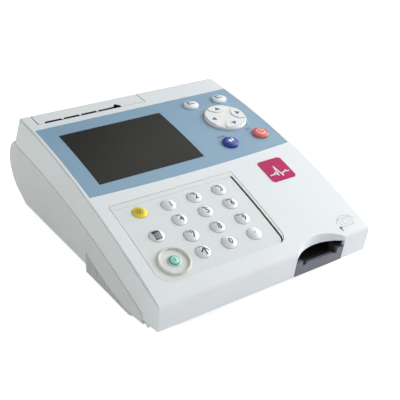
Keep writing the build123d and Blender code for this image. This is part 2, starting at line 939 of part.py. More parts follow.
def switches(board, tops):
    """Round key switches that stand on a board, each up to its own top point."""
    with BuildPart() as group:
        for top in tops:
            place = board.to_local_coords(top)
            with BuildSketch(board):
                with Locations((place.X, place.Y)):
                    Circle(switch_radius)
            extrude(amount=place.Z)
    return group


# Keypad keys, each with its own name
for name, x, y in key_places:
    key = push_button(
        crown_plane(x, y),
        cap_radius(name),
        key_rise - panel_sink,
        key_edge_rise - panel_sink,
        key_flange_top,
    )
    save(key, name)

# Keypad board and its switches
with BuildPart() as keypad_board:
    with BuildSketch(keypad_board_plane):
        RectangleRounded(
            max(key_x) - min(key_x) + 2 * keypad_board_margin,
            max(key_y) - min(key_y) + 2 * keypad_board_margin,
            board_corner,
        )
    extrude(amount=-board_thickness)
save(keypad_board, "keypad_board")
keypad_switches = switches(
    keypad_board_plane, [crown_plane(x, y, switch_depth).origin for name, x, y in key_places]
)

# Buttons on the blue panel
control_names = ("soft_key_left", "soft_key_right", "key_enter", "key_exit")
for name, (x, y, radius) in zip(control_names, controls):
    button = push_button(
        crown_plane(x, y),
        radius,
        control_rise,
        control_edge_rise,
        control_flange_top,
    )
    save(button, name)

# Rocker pad: a disc with four raised lobes, on a ball
ball_plane = crown_plane(nav_x, nav_y, nav_ball_depth)
with BuildPart() as nav_pad:
    with BuildSketch(crown_plane(nav_x, nav_y, nav_depth)):
        Circle(nav_radius)
    extrude(amount=nav_depth + nav_rise)
    fillet(nav_pad.edges().group_by(Axis.Z)[-1], nav_edge_radius)
    with BuildSketch(crown_plane(nav_x, nav_y, -nav_rise)) as lobes:
        with PolarLocations(lobe_reach, 4):
            Circle(lobe_radius)
        Circle(nav_radius - nav_edge_radius, mode=Mode.INTERSECT)
    extrude(amount=lobe_rise)
    with BuildSketch(ball_plane):
        Circle(2 * nav_ball_radius)
    extrude(amount=nav_ball_depth)
    with Locations(ball_plane):
        Sphere(nav_ball_radius + running_gap, mode=Mode.SUBTRACT)
save(nav_pad, "nav_pad")
with BuildPart() as nav_ball:
    with Locations(ball_plane):
        Sphere(nav_ball_radius)
save(nav_ball, "nav_ball")

# Control board, its switches and the post that carries the ball
with BuildPart() as control_board:
    with BuildSketch(control_board_plane):
        RectangleRounded(control_board_width, control_board_length, board_corner)
    extrude(amount=-board_thickness)
save(control_board, "control_board")
control_tops = [crown_plane(x, y, control_switch_depth).origin for x, y, radius in controls]
control_tops += [
    crown_plane(nav_x + dx, nav_y + dy, nav_switch_depth).origin
    for dx, dy in ((lobe_reach, 0), (0, lobe_reach), (-lobe_reach, 0), (0, -lobe_reach))
]
with BuildPart() as key_switches:
    add(keypad_switches)
    add(switches(control_board_plane, control_tops))
save(key_switches, "key_switches")
with BuildPart() as nav_post:
    with BuildSketch(control_board_plane):
        Circle(2 * nav_ball_radius)
    extrude(amount=control_board_depth - nav_ball_depth - fit_gap)
    with Locations(ball_plane):
        Sphere(nav_ball_radius + running_gap, mode=Mode.SUBTRACT)
save(nav_post, "nav_post")


def seam_strip(low, high):
    """Side view of a strip along the seam, between two heights from it."""
    with BuildSketch(Plane.YZ) as strip:
        with BuildLine():
            ends = [
                ThreePointArc(
                    (at_y(seam_front_y + wall), seam_front_z + rise),
                    (at_y(seam_mid_y), seam_mid_z + rise),
                    (at_y(seam_rear_y - wall), seam_rear_z + rise),
                )
                for rise in (low, high)
            ]
            Line(ends[0] @ 0, ends[1] @ 0)
            Line(ends[0] @ 1, ends[1] @ 1)
        make_face()
    return strip.sketch


# Bay for the connectors: a tub whose rim follows the round rear of the case
with BuildPart() as connector_bay:
    with BuildSketch(Plane.XZ.offset(-at_y(recess_y - wall))):
        with Locations(((recess_left + recess_right) / 2, recess_z)):
            Rectangle(recess_right - recess_left + 2 * wall, recess_height + 2 * wall)
    extrude(amount=-bulge_radius)
    add(lower_block, mode=Mode.INTERSECT)
    with BuildSketch(Plane.XZ.offset(-at_y(recess_y))):
        with Locations(((recess_left + recess_right) / 2, recess_z)):
            Rectangle(recess_right - recess_left, recess_height)
    extrude(amount=-bulge_radius, mode=Mode.SUBTRACT)
    with BuildSketch(Plane.XZ.offset(-at_y(recess_y - 2 * wall))):
        with Locations((jack_x, recess_z)):
            Rectangle(jack_width + glue_gap, jack_height + glue_gap)
        with Locations((serial_x, recess_z)):
            Rectangle(serial_shell_width + wall, serial_shell_height + wall)
    extrude(amount=-4 * wall, mode=Mode.SUBTRACT)
save(connector_bay, "connector_bay")

hinge_ears = (cover_left + hinge_ear_inset, cover_right - hinge_ear_inset)
with BuildPart() as hinge_ear_pair:
    with BuildSketch(Plane.YZ):
        with BuildLine():
            side_polyline(*hinge_ear_points, hinge_ear_points[0])
        make_face()
        with Locations((at_y(hinge_y), hinge_z)):
            Circle(hinge_knuckle_radius)
            Circle(hinge_pin_radius + glue_gap, mode=Mode.SUBTRACT)
    extrude(amount=hinge_ear_width / 2, both=True)

with BuildPart() as bottom_case:
    add(lower_block)
    add(chin_block)
    extrude(above_seam(seam_gap), amount=case_width, both=True, mode=Mode.SUBTRACT)
    add(case_hollow, mode=Mode.SUBTRACT)
    extrude(plinth_region(glue_gap), amount=case_width, both=True, mode=Mode.SUBTRACT)
    for side in (-1, 1):
        with BuildSketch(Plane.YZ.offset(side * (inner_half - fit_gap - toe_width / 2))):
            with BuildLine():
                side_polyline(
                    (toe_front_y, toe_front_z),
                    (toe_middle_y, toe_z),
                    (seam_front_y + wall, chin_z),
                    (seam_front_y + wall, front_edge_z - fit_gap),
                    (toe_front_y, front_edge_z - fit_gap),
                    (toe_front_y, toe_front_z),
                )
            make_face()
        extrude(amount=toe_width / 2, both=True)
        for low, high, outer in (
            (-3 * wall, -seam_gap, inner_half + glue_gap),
            (-seam_gap, lip_height, inner_half - fit_gap / 2),
        ):
            extrude(
                Plane.YZ.offset(side * (outer - lip_thickness / 2)).location
                * Plane.YZ.location.inverse()
                * seam_strip(low, high),
                amount=lip_thickness / 2,
                both=True,
            )
    with BuildSketch(Plane.XZ.offset(-at_y(recess_y - wall - glue_gap))):
        with Locations(((recess_left + recess_right) / 2, recess_z)):
            Rectangle(
                recess_right - recess_left + 2 * (wall + glue_gap),
                recess_height + 2 * (wall + glue_gap),
            )
    extrude(amount=-bulge_radius, mode=Mode.SUBTRACT)
    with BuildSketch(Plane.YZ.offset(cover_middle_x)):
        with Locations((at_y(hinge_y), hinge_z)):
            Circle(hinge_knuckle_radius + hinge_relief)
    extrude(amount=(cover_right - cover_left) / 2 + cover_gap, both=True, mode=Mode.SUBTRACT)
    with Locations(*[(x, 0, 0) for x in hinge_ears]):
        add(hinge_ear_pair)
    with BuildSketch(Plane.XY.offset(bottom_z)):
        with Locations(*screw_places[2:]):
            Circle(boss_radius)
    extrude(amount=boss_split_z - glue_gap - bottom_z)
    with BuildSketch(Plane.XY.offset(bottom_z + wall / 2)):
        with Locations(*standoffs):
            Circle(standoff_radius)
    extrude(amount=main_board_z - glue_gap - bottom_z - wall / 2)
    with BuildSketch(Plane.XY.offset(main_board_z - wall)):
        with Locations(*standoffs):
            Circle(standoff_pin_radius)
    extrude(amount=wall + board_thickness + standoff_pin_height)
    with BuildSketch(Plane.XY.offset(bottom_z)):
        with Locations(*screw_places[2:]):
            Circle(screw_head_radius + fit_gap)
    extrude(amount=screw_head_sink + screw_head_height + glue_gap, mode=Mode.SUBTRACT)
    with BuildSketch(Plane.XY.offset(bottom_z)):
        with Locations(*screw_places[2:]):
            Circle(screw_shank_radius + fit_gap)
    extrude(amount=boss_split_z - bottom_z, mode=Mode.SUBTRACT)
    with BuildSketch(Plane.XY.offset(bottom_z)):
        with Locations(*[(side * rear_foot[0], at_y(rear_foot[1])) for side in (-1, 1)]):
            Circle(rear_foot_radius + glue_gap)
    extrude(amount=foot_recess, mode=Mode.SUBTRACT)
    with BuildSketch(Plane.XY.offset(chip_socket_z - glue_gap)):
        with Locations((chip_x, at_y(chip_socket_front_y + chip_socket_length / 2))):
            Rectangle(
                chip_socket_width + 2 * fit_gap, chip_socket_length + 2 * fit_gap
            )
    extrude(amount=front_edge_z - chip_socket_z, mode=Mode.SUBTRACT)
save(bottom_case, "bottom_case")

# Ribbed plinth: a tray that holds the cells and closes the underside
with BuildPart() as base_plinth:
    with BuildSketch(Plane.YZ):
        with BuildLine():
            side_polyline(
                (plinth_front_y, (plinth_z + chin_z) / 2),
                (plinth_flat_y, plinth_z),
                (plinth_rear_y, plinth_z),
                (plinth_rear_y, plinth_top_z + wall),
                (plinth_front_y, plinth_top_z + wall),
                (plinth_front_y, (plinth_z + chin_z) / 2),
            )
        make_face()
    extrude(amount=half_width, both=True)
    extrude(plinth_region(0), amount=case_width, both=True, mode=Mode.INTERSECT)
    add(case_hollow, mode=Mode.SUBTRACT)
    for side in (-1, 1):
        with Locations((side * half_width, at_y((plinth_flat_y + plinth_rear_y) / 2), 0)):
            with GridLocations(2 * rib_depth, rib_pitch, 1, rib_count):
                Box(2 * rib_depth, rib_width, 2 * case_width, mode=Mode.SUBTRACT)
    with BuildSketch(Plane.XY.offset(plinth_z)):
        with Locations((cells_x, at_y((bay_front_y + bay_rear_y) / 2))):
            Rectangle(2 * bay_half + 2 * wall, bay_rear_y - bay_front_y - 2 * bay_wall_inset)
            Rectangle(2 * bay_half, bay_rear_y - bay_front_y, mode=Mode.SUBTRACT)
    extrude(amount=cell_z - plinth_z)
    with BuildSketch(Plane.XY.offset(plinth_z)):
        with Locations(*screw_places[:2]):
            Circle(boss_radius)
    extrude(amount=boss_split_z - glue_gap - plinth_z)
    with BuildSketch(Plane.XY.offset(plinth_z)):
        with Locations(*screw_places[:2]):
            Circle(screw_head_radius + fit_gap)
    extrude(amount=screw_head_sink + screw_head_height + glue_gap, mode=Mode.SUBTRACT)
    with BuildSketch(Plane.XY.offset(plinth_z)):
        with Locations(*screw_places[:2]):
            Circle(screw_shank_radius + fit_gap)
    extrude(amount=boss_split_z - plinth_z, mode=Mode.SUBTRACT)
    with BuildSketch(Plane.XY.offset(plinth_z)):
        with Locations(*[(side * front_foot[0], at_y(front_foot[1])) for side in (-1, 1)]):
            Circle(front_foot_radius + glue_gap)
    extrude(amount=foot_recess, mode=Mode.SUBTRACT)
    with BuildSketch(Plane.XY.offset(-wall)):
        with Locations((door_middle_x, at_y((door_front_y + case_depth) / 2))):
            Rectangle(
                door_right - door_left + 2 * door_gap, case_depth - door_front_y + 2 * door_gap
            )
    extrude(amount=plinth_z + 2 * wall, mode=Mode.SUBTRACT)
    with BuildSketch(Plane.XY.offset(plinth_z + door_tongue_low - door_gap / 2)):
        with Locations((door_middle_x, at_y((door_front_y + case_depth) / 2))):
            Rectangle(
                door_right - door_left + 2 * (door_tongue + door_gap),
                case_depth - door_front_y + 2 * door_gap,
            )
    extrude(amount=door_tongue_thickness + door_gap, mode=Mode.SUBTRACT)
save(base_plinth, "base_plinth")

# Battery door: slides out to the rear on two tongues
with BuildPart() as battery_door:
    with BuildSketch(Plane.XY.offset(plinth_z)):
        with Locations((door_middle_x, at_y((door_front_y + plinth_rear_y) / 2))):
            Rectangle(door_right - door_left, plinth_rear_y - door_front_y)
    extrude(amount=door_thickness)
    with BuildSketch(Plane.XY.offset(plinth_z + door_tongue_low)):
        with Locations((door_middle_x, at_y((door_front_y + plinth_rear_y) / 2))):
            Rectangle(
                door_right - door_left + 2 * door_tongue,
                plinth_rear_y - door_front_y - 2 * wall,
            )
    extrude(amount=door_tongue_thickness)
    with BuildSketch(Plane.XY.offset(plinth_z)):
        with Locations((door_middle_x, at_y(plinth_rear_y - door_grip_inset))):
            with GridLocations(rib_pitch, 2 * rib_pitch, 1, door_grip_count):
                Rectangle(door_grip_length, rib_width)
    extrude(amount=rib_depth, mode=Mode.SUBTRACT)
save(battery_door, "battery_door")

# Cells, side by side, with their caps turned about in turn
cell_step = [cells_x + (i - (cell_count - 1) / 2) * cell_pitch for i in range(cell_count)]
with BuildPart() as batteries:
    for i, x in enumerate(cell_step):
        turn = 1 if i % 2 else -1
        body_middle = cells_y - turn * cell_cap_length / 2
        with BuildSketch(Plane.XZ.offset(-at_y(body_middle))):
            with Locations((x, cell_z)):
                Circle(cell_radius)
        extrude(amount=(cell_length - cell_cap_length) / 2, both=True)
        cap_middle = cells_y + turn * (cell_length - cell_cap_length) / 2
        with BuildSketch(Plane.XZ.offset(-at_y(cap_middle))):
            with Locations((x, cell_z)):
                Circle(cell_cap_radius)
        extrude(amount=cell_cap_length / 2, both=True)
save(batteries, "batteries")

# Contact plates at both ends of the cells
with BuildPart() as battery_contacts:
    for y in (bay_front_y + glue_gap / 2, bay_rear_y - glue_gap / 2):
        inward = 1 if y < cells_y else -1
        with BuildSketch(Plane.XZ.offset(-at_y(y + inward * contact_thickness / 2))):
            for x in cell_step:
                with Locations((x, cell_z)):
                    Rectangle(contact_size, contact_size)
        extrude(amount=contact_thickness / 2 - glue_gap / 4, both=True)
save(battery_contacts, "battery_contacts")

# Lot code chip in a socket under the front left corner
with BuildPart() as chip_socket:
    with BuildSketch(Plane.XY.offset(chip_socket_z)):
        with Locations((chip_x, at_y(chip_socket_front_y + chip_socket_length / 2))):
            Rectangle(chip_socket_width, chip_socket_length)
    extrude(amount=front_edge_z - fit_gap - chip_socket_z)
    with BuildSketch(Plane.XY.offset(chip_z - fit_gap)):
        with Locations((chip_x, at_y(chip_front_y + chip_length / 2))):
            Rectangle(chip_width + 2 * fit_gap, chip_length + 2 * fit_gap)
    extrude(amount=chip_thickness + 2 * fit_gap, mode=Mode.SUBTRACT)
save(chip_socket, "chip_socket")
with BuildPart() as code_chip:
    with BuildSketch(Plane.XY.offset(chip_z)):
        with Locations((chip_x, at_y(chip_front_y + chip_length / 2))):
            RectangleRounded(chip_width, chip_length, soft_edge_radius / 2)
    extrude(amount=chip_thickness)
    with BuildSketch(Plane.XY.offset(chip_z + chip_thickness)):
        with Locations((chip_x, at_y(chip_front_y + rib_pitch))):
            with GridLocations(rib_pitch, rib_pitch, 1, 2):
                Rectangle(chip_width - 2 * wall, rib_width)
    extrude(amount=-rib_depth, mode=Mode.SUBTRACT)
save(code_chip, "code_chip")

# Printer cover: the piece of the top shell over the paper, hinged at its lower rear edge
knuckles = [ear + side * knuckle_step for ear in hinge_ears for side in (-1, 1)]
with BuildPart() as printer_cover:
    add(top_shell)
    extrude(cover_region(0, cover_edge_z), amount=crown_rear_z, mode=Mode.INTERSECT)
    with BuildSketch(Plane.XY.offset(platen_z)):
        with Locations((slot_middle, at_y(cover_front_y))):
            Rectangle(slot_length, 2 * slot_width)
        with Locations((bridge_middle, at_y(cover_front_y + slot_width / 2 + bridge_gap))):
            with GridLocations(bridge_pitch, 1, slot_bridges, 1):
                Rectangle(bridge_width, slot_width, mode=Mode.SUBTRACT)
        with Locations((slot_right - finger_notch_width / 2, at_y(cover_front_y + slot_width))):
            Triangle(
                a=finger_notch_width,
                B=finger_notch_angle,
                C=finger_notch_angle,
                align=(Align.CENTER, Align.MIN),
            )
    extrude(amount=crown_rear_z, mode=Mode.SUBTRACT)
    for x in knuckles:
        with BuildSketch(Plane.YZ.offset(x)):
            with Locations((at_y(hinge_y), hinge_z)):
                Circle(hinge_knuckle_radius)
        extrude(amount=knuckle_width / 2, both=True)
    for x in hinge_ears:
        with Locations((x, at_y(hinge_y), hinge_z)):
            Box(
                hinge_ear_width + 2 * knuckle_gap,
                4 * ear_notch,
                2 * ear_notch,
                mode=Mode.SUBTRACT,
            )
    with BuildSketch(Plane.YZ.offset(cover_middle_x)):
        with Locations((at_y(hinge_y), hinge_z)):
            Circle(hinge_pin_radius + running_gap)
    extrude(amount=case_width, both=True, mode=Mode.SUBTRACT)
save(printer_cover, "printer_cover")

with BuildPart() as cover_hinge_pin:
    with BuildSketch(Plane.YZ.offset(cover_middle_x)):
        with Locations((at_y(hinge_y), hinge_z)):
            Circle(hinge_pin_radius)
    extrude(amount=(cover_right - cover_left) / 2 - pin_inset, both=True)
save(cover_hinge_pin, "cover_hinge_pin")

# Paper roll on its spindle, in the bulge
with BuildPart() as paper_roll:
    with BuildSketch(Plane.YZ.offset(slot_middle)):
        with Locations((at_y(bulge_y), bulge_z)):
            Circle(paper_radius)
            Circle(core_radius, mode=Mode.SUBTRACT)
    extrude(amount=paper_width / 2, both=True)
save(paper_roll, "paper_roll")
with BuildPart() as roll_spindle:
    with BuildSketch(Plane.YZ.offset(slot_middle)):
        with Locations((at_y(bulge_y), bulge_z)):
            Circle(core_radius - running_gap)
    extrude(amount=frame_outer + platen_end, both=True)
save(roll_spindle, "roll_spindle")

# Printer frame: two side plates, a back plate and the motor bracket
with BuildPart() as printer_frame:
    for side in (-1, 1):
        with BuildSketch(Plane.YZ.offset(slot_middle + side * (frame_inner + frame_outer) / 2)):
            with BuildLine():
                side_polyline(
                    (frame_front_y, frame_top_z),
                    (platen_y + frame_reach, frame_top_z),
                    (platen_y + frame_reach, platen_z - frame_reach),
                    (bulge_y + spindle_ear, bulge_z + spindle_ear),
                    (bulge_y + spindle_ear, bulge_z - spindle_ear),
                    (frame_foot_y + frame_foot_length, frame_foot_z),
                    (frame_foot_y, frame_foot_z),
                    (frame_foot_y, bulge_z + 2 * spindle_ear),
                    (frame_front_y, platen_z - 2 * spindle_ear),
                    (frame_front_y, frame_top_z),
                )
            make_face()
            with Locations((at_y(bulge_y), bulge_z)):
                Circle(core_radius - running_gap + glue_gap, mode=Mode.SUBTRACT)
            with Locations((at_y(platen_y), platen_z)):
                Circle(platen_shaft_radius + running_gap, mode=Mode.SUBTRACT)
        extrude(amount=frame_plate / 2, both=True)
    with BuildSketch(Plane.XZ.offset(-at_y(frame_front_y))):
        with Locations((slot_middle, platen_z)):
            Rectangle(2 * frame_outer, 2 * (frame_top_z - platen_z))
        with Locations(((slot_middle + frame_inner + motor_start) / 2, platen_z - frame_reach)):
            Rectangle(
                motor_start - glue_gap - slot_middle - frame_inner,
                2 * (frame_top_z - platen_z),
            )
    extrude(amount=-frame_plate)
    with BuildSketch(Plane.YZ.offset(bracket_start + frame_plate / 2)):
        with Locations((at_y(frame_front_y + frame_reach), pinion_z)):
            Rectangle(2 * frame_reach, 2 * motor_radius - frame_plate)
        with Locations((at_y(platen_y), pinion_z)):
            Circle(motor_shaft_radius + fit_gap, mode=Mode.SUBTRACT)
    extrude(amount=frame_plate / 2, both=True)
save(printer_frame, "printer_frame")

# Platen roller: rubber on a steel shaft that runs in the side plates
with BuildPart() as platen_roller:
    with BuildSketch(Plane.YZ.offset(slot_middle)):
        with Locations((at_y(platen_y), platen_z)):
            Circle(platen_radius)
    extrude(amount=frame_inner - platen_end, both=True)
    with BuildSketch(Plane.YZ.offset(slot_middle - frame_outer - platen_end)):
        with Locations((at_y(platen_y), platen_z)):
            Circle(platen_shaft_radius)
    extrude(amount=gear_end - slot_middle + frame_outer + platen_end)
save(platen_roller, "platen_roller")


def spur_gear(teeth, start, y, z, bore):
    """Straight-toothed wheel at a place in side view, first tooth at an angle."""
    pitch_radius = gear_module * teeth / 2
    root_radius = pitch_radius - tooth_root_share * gear_module
    tip_radius = pitch_radius + gear_module
    half_tooth = pi * gear_module / 4 - gear_backlash / 2
    root_half = half_tooth + tooth_slope * tooth_root_share * gear_module
    tip_half = half_tooth - tooth_slope * gear_module
    with BuildPart() as gear:
        with BuildSketch(Plane.YZ.offset(gear_start)):
            with Locations((at_y(y), z)):
                Circle(root_radius)
                with PolarLocations(0, teeth, start_angle=start):
                    Polygon(
                        (root_radius / 2, -root_half),
                        (root_radius, -root_half),
                        (tip_radius, -tip_half),
                        (tip_radius, tip_half),
                        (root_radius, root_half),
                        (root_radius / 2, root_half),
                        align=None,
                    )
                if bore:
                    Circle(bore, mode=Mode.SUBTRACT)
        extrude(amount=gear_width)
    return gear


platen_gear = spur_gear(platen_teeth, -90, platen_y, platen_z, platen_shaft_radius + glue_gap)
save(platen_gear, "platen_gear")
pinion_wheel = spur_gear(pinion_teeth, 90 + 180 / pinion_teeth, platen_y, pinion_z, 0)
with BuildPart() as motor_pinion:
    add(pinion_wheel)
    with BuildSketch(Plane.YZ.offset(gear_start + gear_width / 2)):
        with Locations((at_y(platen_y), pinion_z)):
            Circle(motor_shaft_radius)
    extrude(amount=motor_start + shaft_depth - gear_start - gear_width / 2)
save(motor_pinion, "motor_pinion")
with BuildPart() as feed_motor:
    with BuildSketch(Plane.YZ.offset(motor_start)):
        with Locations((at_y(platen_y), pinion_z)):
            Circle(motor_radius)
    extrude(amount=motor_length)
    fillet(feed_motor.edges(), small_edge_radius)
    with BuildSketch(Plane.YZ.offset(motor_start)):
        with Locations((at_y(platen_y), pinion_z)):
            Circle(motor_shaft_radius + running_gap)
    extrude(amount=shaft_depth + fit_gap, mode=Mode.SUBTRACT)
save(feed_motor, "feed_motor")
with BuildPart() as print_head:
    with BuildSketch(Plane.YZ.offset(slot_middle)):
        with Locations((at_y(head_middle_y), frame_top_z - head_height / 2)):
            Rectangle(head_thickness, head_height)
    extrude(amount=frame_inner - glue_gap, both=True)
    fillet(print_head.edges().filter_by(Axis.X), small_edge_radius)
save(print_head, "print_head")

# Dark tray at the mouth of the test port, trimmed to the lean of the front face
with BuildPart() as port_tray:
    with BuildSketch(Plane.XZ.offset(-at_y(0))):
        with Locations((port_x, skirt_rear_z)):
            Rectangle(
                2 * tray_half, guide_floor_z - skirt_rear_z, align=(Align.CENTER, Align.MIN)
            )
        for side in (-1, 1):
            with Locations((port_x + side * (tray_half - tray_cheek / 2), skirt_rear_z)):
                Rectangle(
                    tray_cheek, tray_cheek_z - skirt_rear_z, align=(Align.CENTER, Align.MIN)
                )
    extrude(amount=-tray_depth)
    with BuildSketch(Plane.XZ.offset(-at_y(0))):
        with BuildLine():
            Polyline(
                (port_x - tray_half, skirt_rear_z),
                (port_x - tray_half, tray_slot_z),
                (port_x - lip_half, tray_slot_z),
                (port_x - lip_half + lip_slope, tray_lip_z),
                (port_x + lip_half - lip_slope, tray_lip_z),
                (port_x + lip_half, tray_slot_z),
                (port_x + tray_half, tray_slot_z),
                (port_x + tray_half, skirt_rear_z),
                (port_x - tray_half, skirt_rear_z),
            )
        make_face()
    extrude(amount=-tray_front)
    add(upper_block, mode=Mode.INTERSECT)
save(port_tray, "port_tray")

# Guide channel behind the tray, with a bearing foot at each end for the lead screw
guide_feet = (
    (screw_front_y, chin_floor_z + 2 * glue_gap),
    (guide_rear_y - screw_bearing, plinth_z + wall + glue_gap),
)
with BuildPart() as cassette_guide:
    with BuildSketch(Plane.XZ.offset(-at_y(guide_front_y))):
        with Locations((port_x, guide_floor_z - guide_wall)):
            Rectangle(
                guide_outer,
                port_ceiling_z + 2 * guide_wall - guide_floor_z,
                align=(Align.CENTER, Align.MIN),
            )
        with Locations((port_x, guide_floor_z)):
            Rectangle(
                guide_width,
                port_ceiling_z - guide_floor_z,
                align=(Align.CENTER, Align.MIN),
                mode=Mode.SUBTRACT,
            )
    extrude(amount=-guide_length)
    for y, foot_z in guide_feet:
        with BuildSketch(Plane.XZ.offset(-at_y(y))):
            with Locations((port_x, guide_floor_z)):
                Rectangle(
                    4 * nut_radius, guide_floor_z - foot_z, align=(Align.CENTER, Align.MAX)
                )
            with Locations((port_x, screw_z)):
                Circle(screw_radius + running_gap, mode=Mode.SUBTRACT)
        extrude(amount=-screw_bearing)
    with BuildSketch(Plane.XY.offset(guide_floor_z)):
        with Locations((port_x, at_y(carriage_y + carriage_travel / 2))):
            Rectangle(
                post_width + 2 * fit_gap, post_width + carriage_travel + 4 * fit_gap
            )
    extrude(amount=-2 * guide_wall, mode=Mode.SUBTRACT)
    with BuildSketch(Plane.XY.offset(port_ceiling_z - guide_wall)):
        with Locations((port_x, at_y(optics_y))):
            Circle(snout_radius + fit_gap)
    extrude(amount=4 * guide_wall, mode=Mode.SUBTRACT)
save(cassette_guide, "cassette_guide")

# Carriage that draws the test cassette in, with its nut on the lead screw
with BuildPart() as cassette_carriage:
    with BuildSketch(Plane.XY.offset(carriage_z)):
        with Locations((port_x, at_y(carriage_y))):
            Rectangle(carriage_width, carriage_length)
    extrude(amount=carriage_floor + carriage_side_height)
    with BuildSketch(Plane.XY.offset(carriage_z + carriage_floor)):
        with Locations((port_x, at_y(carriage_y - wall / 2))):
            Rectangle(carriage_width - 2 * wall, carriage_length - wall)
    extrude(amount=carriage_side_height, mode=Mode.SUBTRACT)
    with BuildSketch(Plane.XY.offset(screw_z)):
        with Locations((port_x, at_y(carriage_y))):
            Rectangle(post_width, post_width)
    extrude(amount=carriage_z - screw_z)
    with BuildSketch(Plane.XZ.offset(-at_y(carriage_y))):
        with Locations((port_x, screw_z)):
            Circle(nut_radius)
    extrude(amount=nut_length / 2, both=True)
    with BuildSketch(Plane.XZ.offset(-at_y(carriage_y))):
        with Locations((port_x, screw_z)):
            Circle(screw_radius + running_gap)
    extrude(amount=nut_length, both=True, mode=Mode.SUBTRACT)
save(cassette_carriage, "cassette_carriage")
with BuildPart() as lead_screw:
    with BuildSketch(Plane.XZ.offset(-at_y(screw_front_y - fit_gap))):
        with Locations((port_x, screw_z)):
            Circle(screw_radius)
    extrude(amount=-(carriage_motor_y + motor_bore_depth - screw_front_y + fit_gap))
save(lead_screw, "lead_screw")
with BuildPart() as carriage_motor:
    with BuildSketch(Plane.XZ.offset(-at_y(carriage_motor_y))):
        with Locations((port_x, screw_z)):
            Circle(carriage_motor_radius)
    extrude(amount=-carriage_motor_length)
    fillet(carriage_motor.edges(), small_edge_radius)
    with BuildSketch(Plane.XZ.offset(-at_y(carriage_motor_y))):
        with Locations((port_x, screw_z)):
            Circle(screw_radius + running_gap)
    extrude(amount=-motor_bore_depth - fit_gap, mode=Mode.SUBTRACT)
save(carriage_motor, "carriage_motor")

# Optics block over the guide, with its snout through the guide's ceiling
with BuildPart() as optics_block:
    with BuildSketch(Plane.XY.offset(optics_z)):
        with Locations((port_x, at_y(optics_y))):
            RectangleRounded(optics_width, optics_length, soft_edge_radius)
    extrude(amount=optics_height)
    fillet(optics_block.edges().group_by(Axis.Z)[-1], soft_edge_radius / 2)
    with BuildSketch(Plane.XY.offset(optics_z)):
        with Locations((port_x, at_y(optics_y))):
            Circle(snout_radius)
    extrude(amount=-snout_length)
save(optics_block, "optics_block")

# Main board with a few tall parts
with BuildPart() as main_board:
    with BuildSketch(Plane.XY.offset(main_board_z)):
        with Locations((0, at_y((main_board_front_y + main_board_rear_y) / 2))):
            Rectangle(main_board_width, main_board_rear_y - main_board_front_y)
        with Locations(*standoffs):
            Circle(standoff_pin_radius + glue_gap, mode=Mode.SUBTRACT)
    extrude(amount=board_thickness)
    with BuildSketch(Plane.XY.offset(main_board_z + board_thickness)):
        for x, y, width, length in board_parts:
            with Locations((x, at_y(main_board_front_y + y))):
                Rectangle(width, length)
    extrude(amount=board_part_height)
save(main_board, "main_board")

# Connectors in the rear recess
with BuildPart() as dc_jack:
    with BuildSketch(Plane.XZ.offset(-at_y(recess_y - jack_length))):
        with Locations((jack_x, recess_z)):
            Rectangle(jack_width, jack_height)
    extrude(amount=-jack_length)
    with BuildSketch(Plane.XZ.offset(-at_y(recess_y - wall - glue_gap))):
        with Locations((jack_x, recess_z)):
            Rectangle(jack_width + 2 * jack_rear_step, jack_height + 2 * jack_rear_step)
    extrude(amount=jack_rear_step)
    with BuildSketch(Plane.XZ.offset(-at_y(recess_y))):
        with Locations((jack_x, recess_z)):
            Circle(jack_bore)
            Circle(jack_pin_radius, mode=Mode.SUBTRACT)
    extrude(amount=jack_length - wall, mode=Mode.SUBTRACT)
save(dc_jack, "dc_jack")
with BuildPart() as serial_port:
    with BuildSketch(Plane.XZ.offset(-at_y(recess_y + glue_gap))):
        with Locations((serial_x, recess_z)):
            RectangleRounded(serial_width, serial_height, soft_edge_radius / 2)
    extrude(amount=-serial_flange)
    with BuildSketch(Plane.XZ.offset(-at_y(recess_y + glue_gap))):
        with Locations((serial_x, recess_z)):
            Trapezoid(serial_shell_width, serial_shell_height, serial_shell_slant, rotation=180)
    extrude(amount=-serial_shell_reach)
    with BuildSketch(Plane.XZ.offset(-at_y(recess_y + glue_gap))):
        with Locations((serial_x, recess_z)):
            Rectangle(serial_shell_width, serial_shell_height)
    extrude(amount=serial_depth)
    with BuildSketch(Plane.XZ.offset(-at_y(recess_y + glue_gap + serial_shell_reach))):
        with Locations((serial_x, recess_z)):
            Trapezoid(
                serial_shell_width - 2 * serial_shell_wall,
                serial_shell_height - 2 * serial_shell_wall,
                serial_shell_slant,
                rotation=180,
            )
    extrude(amount=serial_shell_reach - serial_flange, mode=Mode.SUBTRACT)
save(serial_port, "serial_port")

# Case screws: two through the plinth, two through the rear of the bottom case
with BuildPart() as case_screws:
    for place, base in zip(screw_places, (plinth_z, plinth_z, bottom_z, bottom_z)):
        with BuildSketch(Plane.XY.offset(base + screw_head_sink)):
            with Locations(place):
                Circle(screw_head_radius)
        extrude(amount=screw_head_height)
        with BuildSketch(Plane.XY.offset(base + screw_head_sink)):
            with Locations(place):
                RegularPolygon(screw_shank_radius, 6)
        extrude(amount=screw_head_height / 2, mode=Mode.SUBTRACT)
        with BuildSketch(Plane.XY.offset(base + screw_head_sink + screw_head_height)):
            with Locations(place):
                Circle(screw_shank_radius)
        extrude(amount=boss_split_z + screw_bite - base - screw_head_sink - screw_head_height)
save(case_screws, "case_screws")

# Rubber feet: two pads under the plinth, two taller ones under the rear
with BuildPart() as rubber_feet:
    for (x, y), radius, base in (
        (front_foot, front_foot_radius, plinth_z),
        (rear_foot, rear_foot_radius, bottom_z),
    ):
        with BuildSketch(Plane.XY):
            with Locations((-x, at_y(y)), (x, at_y(y))):
                Circle(radius)
        extrude(amount=base + foot_recess)
    fillet(rubber_feet.edges().group_by(Axis.Z)[0], small_edge_radius)
save(rubber_feet, "rubber_feet")

